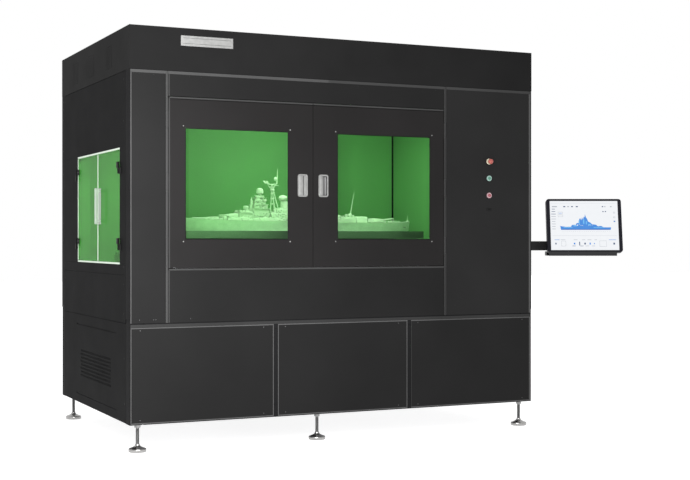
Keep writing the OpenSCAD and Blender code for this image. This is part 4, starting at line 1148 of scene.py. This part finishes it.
def tripod_mast(bm):
    """The mast behind the bridge, with its yards, top and radar."""
    top = (1038, 0, 296)
    for foot in ((1030, 0), (1072, -38), (1072, 38), (1052, -20)):
        mast(bm, (foot[0], foot[1], 120), top, 3.6, 2.6)
    for z in (172, 205, 238):
        mast(bm, (1026, -22, z), (1064, 10, z + 5), 2.0, 1.6)
        add(bm, block((1034, -12, z - 5), (1052, 12, z + 3), 2, 1))
    add(bm, turned([(0, 0), (12, 0), (15, 6), (13, 12), (0, 13)], segments=18,
                   matrix=at(1042, 252)))
    for (x0, z0), (x1, z1), r in (((1000, 300), (1086, 286), 2.4), ((1044, 250), (1000, 306), 2.2),
                                  ((1044, 262), (1078, 312), 2.6), ((1012, 290), (1062, 300), 1.8)):
        mast(bm, (x0, 0, z0), (x1, 0, z1), r, r * 0.8)
    mast(bm, (1038, -54, 280), (1038, 54, 280), 2.0, 2.0)
    for x, y, z, size in ((1002, -10, 308, 7), (990, 6, 312, 5), (1014, 0, 300, 4),
                          (1000, 14, 303, 5)):
        add(bm, block((x - size, y - size, z - size), (x + size, y + size, z + size), 2, 2))
    mast(bm, (1072, 0, 296), (1078, 0, 394), 4.6, 1.0)
    add(bm, turned([(0, 0), (8, 2), (11, 12), (6, 22), (0, 24)], segments=16,
                   matrix=at(1064, 318)))


def middle_works(bm):
    """The director tower behind the mast, the funnel and the blocks round them."""
    add(bm, turned([(0, 0), (24, 0), (22, 92), (0, 92)], segments=24, matrix=at(1122, 96)))
    add(bm, turned([(0, 0), (13, 2), (25, 12), (28, 24), (22, 36), (0, 42)], segments=22,
                   matrix=at(1114, 186)))
    deckhouse(bm, 1012, 1210, 82, 112, 58)
    deckhouse(bm, 1060, 1180, 112, 140, 40)
    ports(bm, 3, 1016, 1130, 88, 108, -58, 12)
    ports(bm, 4, 1064, 1140, 116, 136, -40, 8)
    funnel = turned([(0, 0), (28, 0), (26, 74), (29, 76), (29, 82), (0, 80)], segments=32)
    rake = Matrix.Rotation(-0.06, 4, "Y")
    funnel.transform(at(1290, 120) @ rake @ Matrix.Diagonal((1, 0.75, 1, 1)))
    add(bm, funnel)
    deckhouse(bm, 1230, 1470, 82, 112, 58)
    director(bm, 1420, 110, 12)
    for x, r in ((1478, 9), (1500, 12), (1520, 7), (1560, 10), (1584, 12), (1606, 7)):
        director(bm, x, 84 if x < 1528 else 94, r)
    mast(bm, (1584, 0, 94), (1614, 0, 257), 3.2, 0.7)


def after_decks(bm):
    """A raised block, a gun house with its barrels over the stern, and two end staffs."""
    add(bm, block((1606, -50, 50), (1688, 50, 95), 9, 3))
    turret(bm, 1768, 58, 1, 0.86, 3, 0.14, 96)
    mast(bm, (2000, 0, 60), (2004, 0, 106), 2.0, 0.8)
    mast(bm, (414, 0, 80), (412, 0, 112), 2.0, 0.9)


def printed_ship():
    bm = ship_hull()
    for part in (forward_decks, bridge_tower, tripod_mast, middle_works, after_decks):
        part(bm)
    for seed, x0, x1, z, half, count in ((5, 560, 740, 66, 66, 22), (7, 800, 1540, 84, 72, 90),
                                         (9, 806, 890, 120, 56, 12), (11, 1240, 1460, 112, 54, 20),
                                         (13, 1480, 1600, 84, 60, 26), (15, 1820, 1990, 58, 48, 26),
                                         (17, 1016, 1150, 112, 54, 26), (19, 1064, 1170, 140, 38, 14)):
        small_arms(bm, seed, x0, x1, z, half, count)
    ports(bm, 21, 760, 1540, 60, 80, -70, 46)
    ports(bm, 22, 1850, 1960, 22, 46, -60, 4)
    # Upper works and faces that look up take a deeper tone than the sides of the hull: painted shade
    for f in bm.faces:
        if f.material_index == 0 and (f.calc_center_median().z > 56 or f.normal.z > 0.7):
            f.material_index = 1
    bm.transform(BERTH)
    piece("printed_model", bm, "platform", ["resin", "resin_upper_painted_shade", "resin_painted_shade"], True, angle=28)


printed_ship()

# ---- floor, light and camera


def floor_sheet():
    """A flat pale sheet that glows a little, so that it stays pale under the machine."""
    bm = bmesh.new()
    corners = ((-30, -14, 0), (30, -14, 0), (30, 30, 0), (-30, 30, 0))
    bm.faces.new([bm.verts.new(p) for p in corners])
    mesh = bpy.data.meshes.new("studio_floor")
    bm.to_mesh(mesh)
    bm.free()
    obj = linked("studio_floor", mesh)
    p = Paint("studio_white")
    p.colour(p.noise(0.8, 2), (0.45, 0.45, 0.45), (0.47, 0.47, 0.47))
    p.set("Emission Color", (1.0, 1.0, 1.0, 1.0))
    p.set("Emission Strength", 0.83)
    p.roughness(p.noise(3, 2), 0.85, 0.95)
    p.set("Specular IOR Level", 0.1)
    mesh.materials.append(p.mat)


floor_sheet()

world = bpy.data.worlds.new("studio")
world.use_nodes = True
world.node_tree.nodes["Background"].inputs["Color"].default_value = (1, 1, 1, 1)
world.node_tree.nodes["Background"].inputs["Strength"].default_value = 1.0
bpy.context.scene.world = world


def area(name, at, aim, size, power):
    """A soft lamp at one cabinet point that faces another. Its size is in metres."""
    light = bpy.data.lights.new(name, "AREA")
    light.shape = "RECTANGLE"
    light.size, light.size_y = size
    light.energy = power
    obj = linked(name, light)
    obj.location = PLACE @ Vector(at)
    way = (PLACE @ Vector(aim)) - obj.location
    obj.rotation_mode = "QUATERNION"
    obj.rotation_quaternion = way.to_track_quat("-Z", "Y")


area("key_left", (-200, -2100, 1500), (300, 0, 1250), (1.6, 2.2), 117)
area("chamber_light", (1400, 640, 2035), (1400, 700, 1200), (1.3, 0.8), 8.0)
area("front_strip_light", (1200, 112, 2030), (1200, 520, 1280), (1.2, 0.03), 17)

# The camera stands in front of the machine, to its left and at half its height, and looks
# level
CAMERA_AT = (-2043.8, -7224.0, 1214.0)
CAMERA_TURN = -25.17
cam_data = bpy.data.cameras.new("camera")
cam_data.sensor_width = 36.0
cam_data.lens = 68.2
cam_data.clip_start, cam_data.clip_end = 0.05, 200
cam = linked("camera", cam_data)
cam.location = PLACE @ Vector(CAMERA_AT)
cam.rotation_euler = (math.radians(90), 0, math.radians(CAMERA_TURN))
bpy.context.scene.camera = cam

scene = bpy.context.scene
scene.view_settings.view_transform = "Standard"
scene.cycles.use_denoising = True
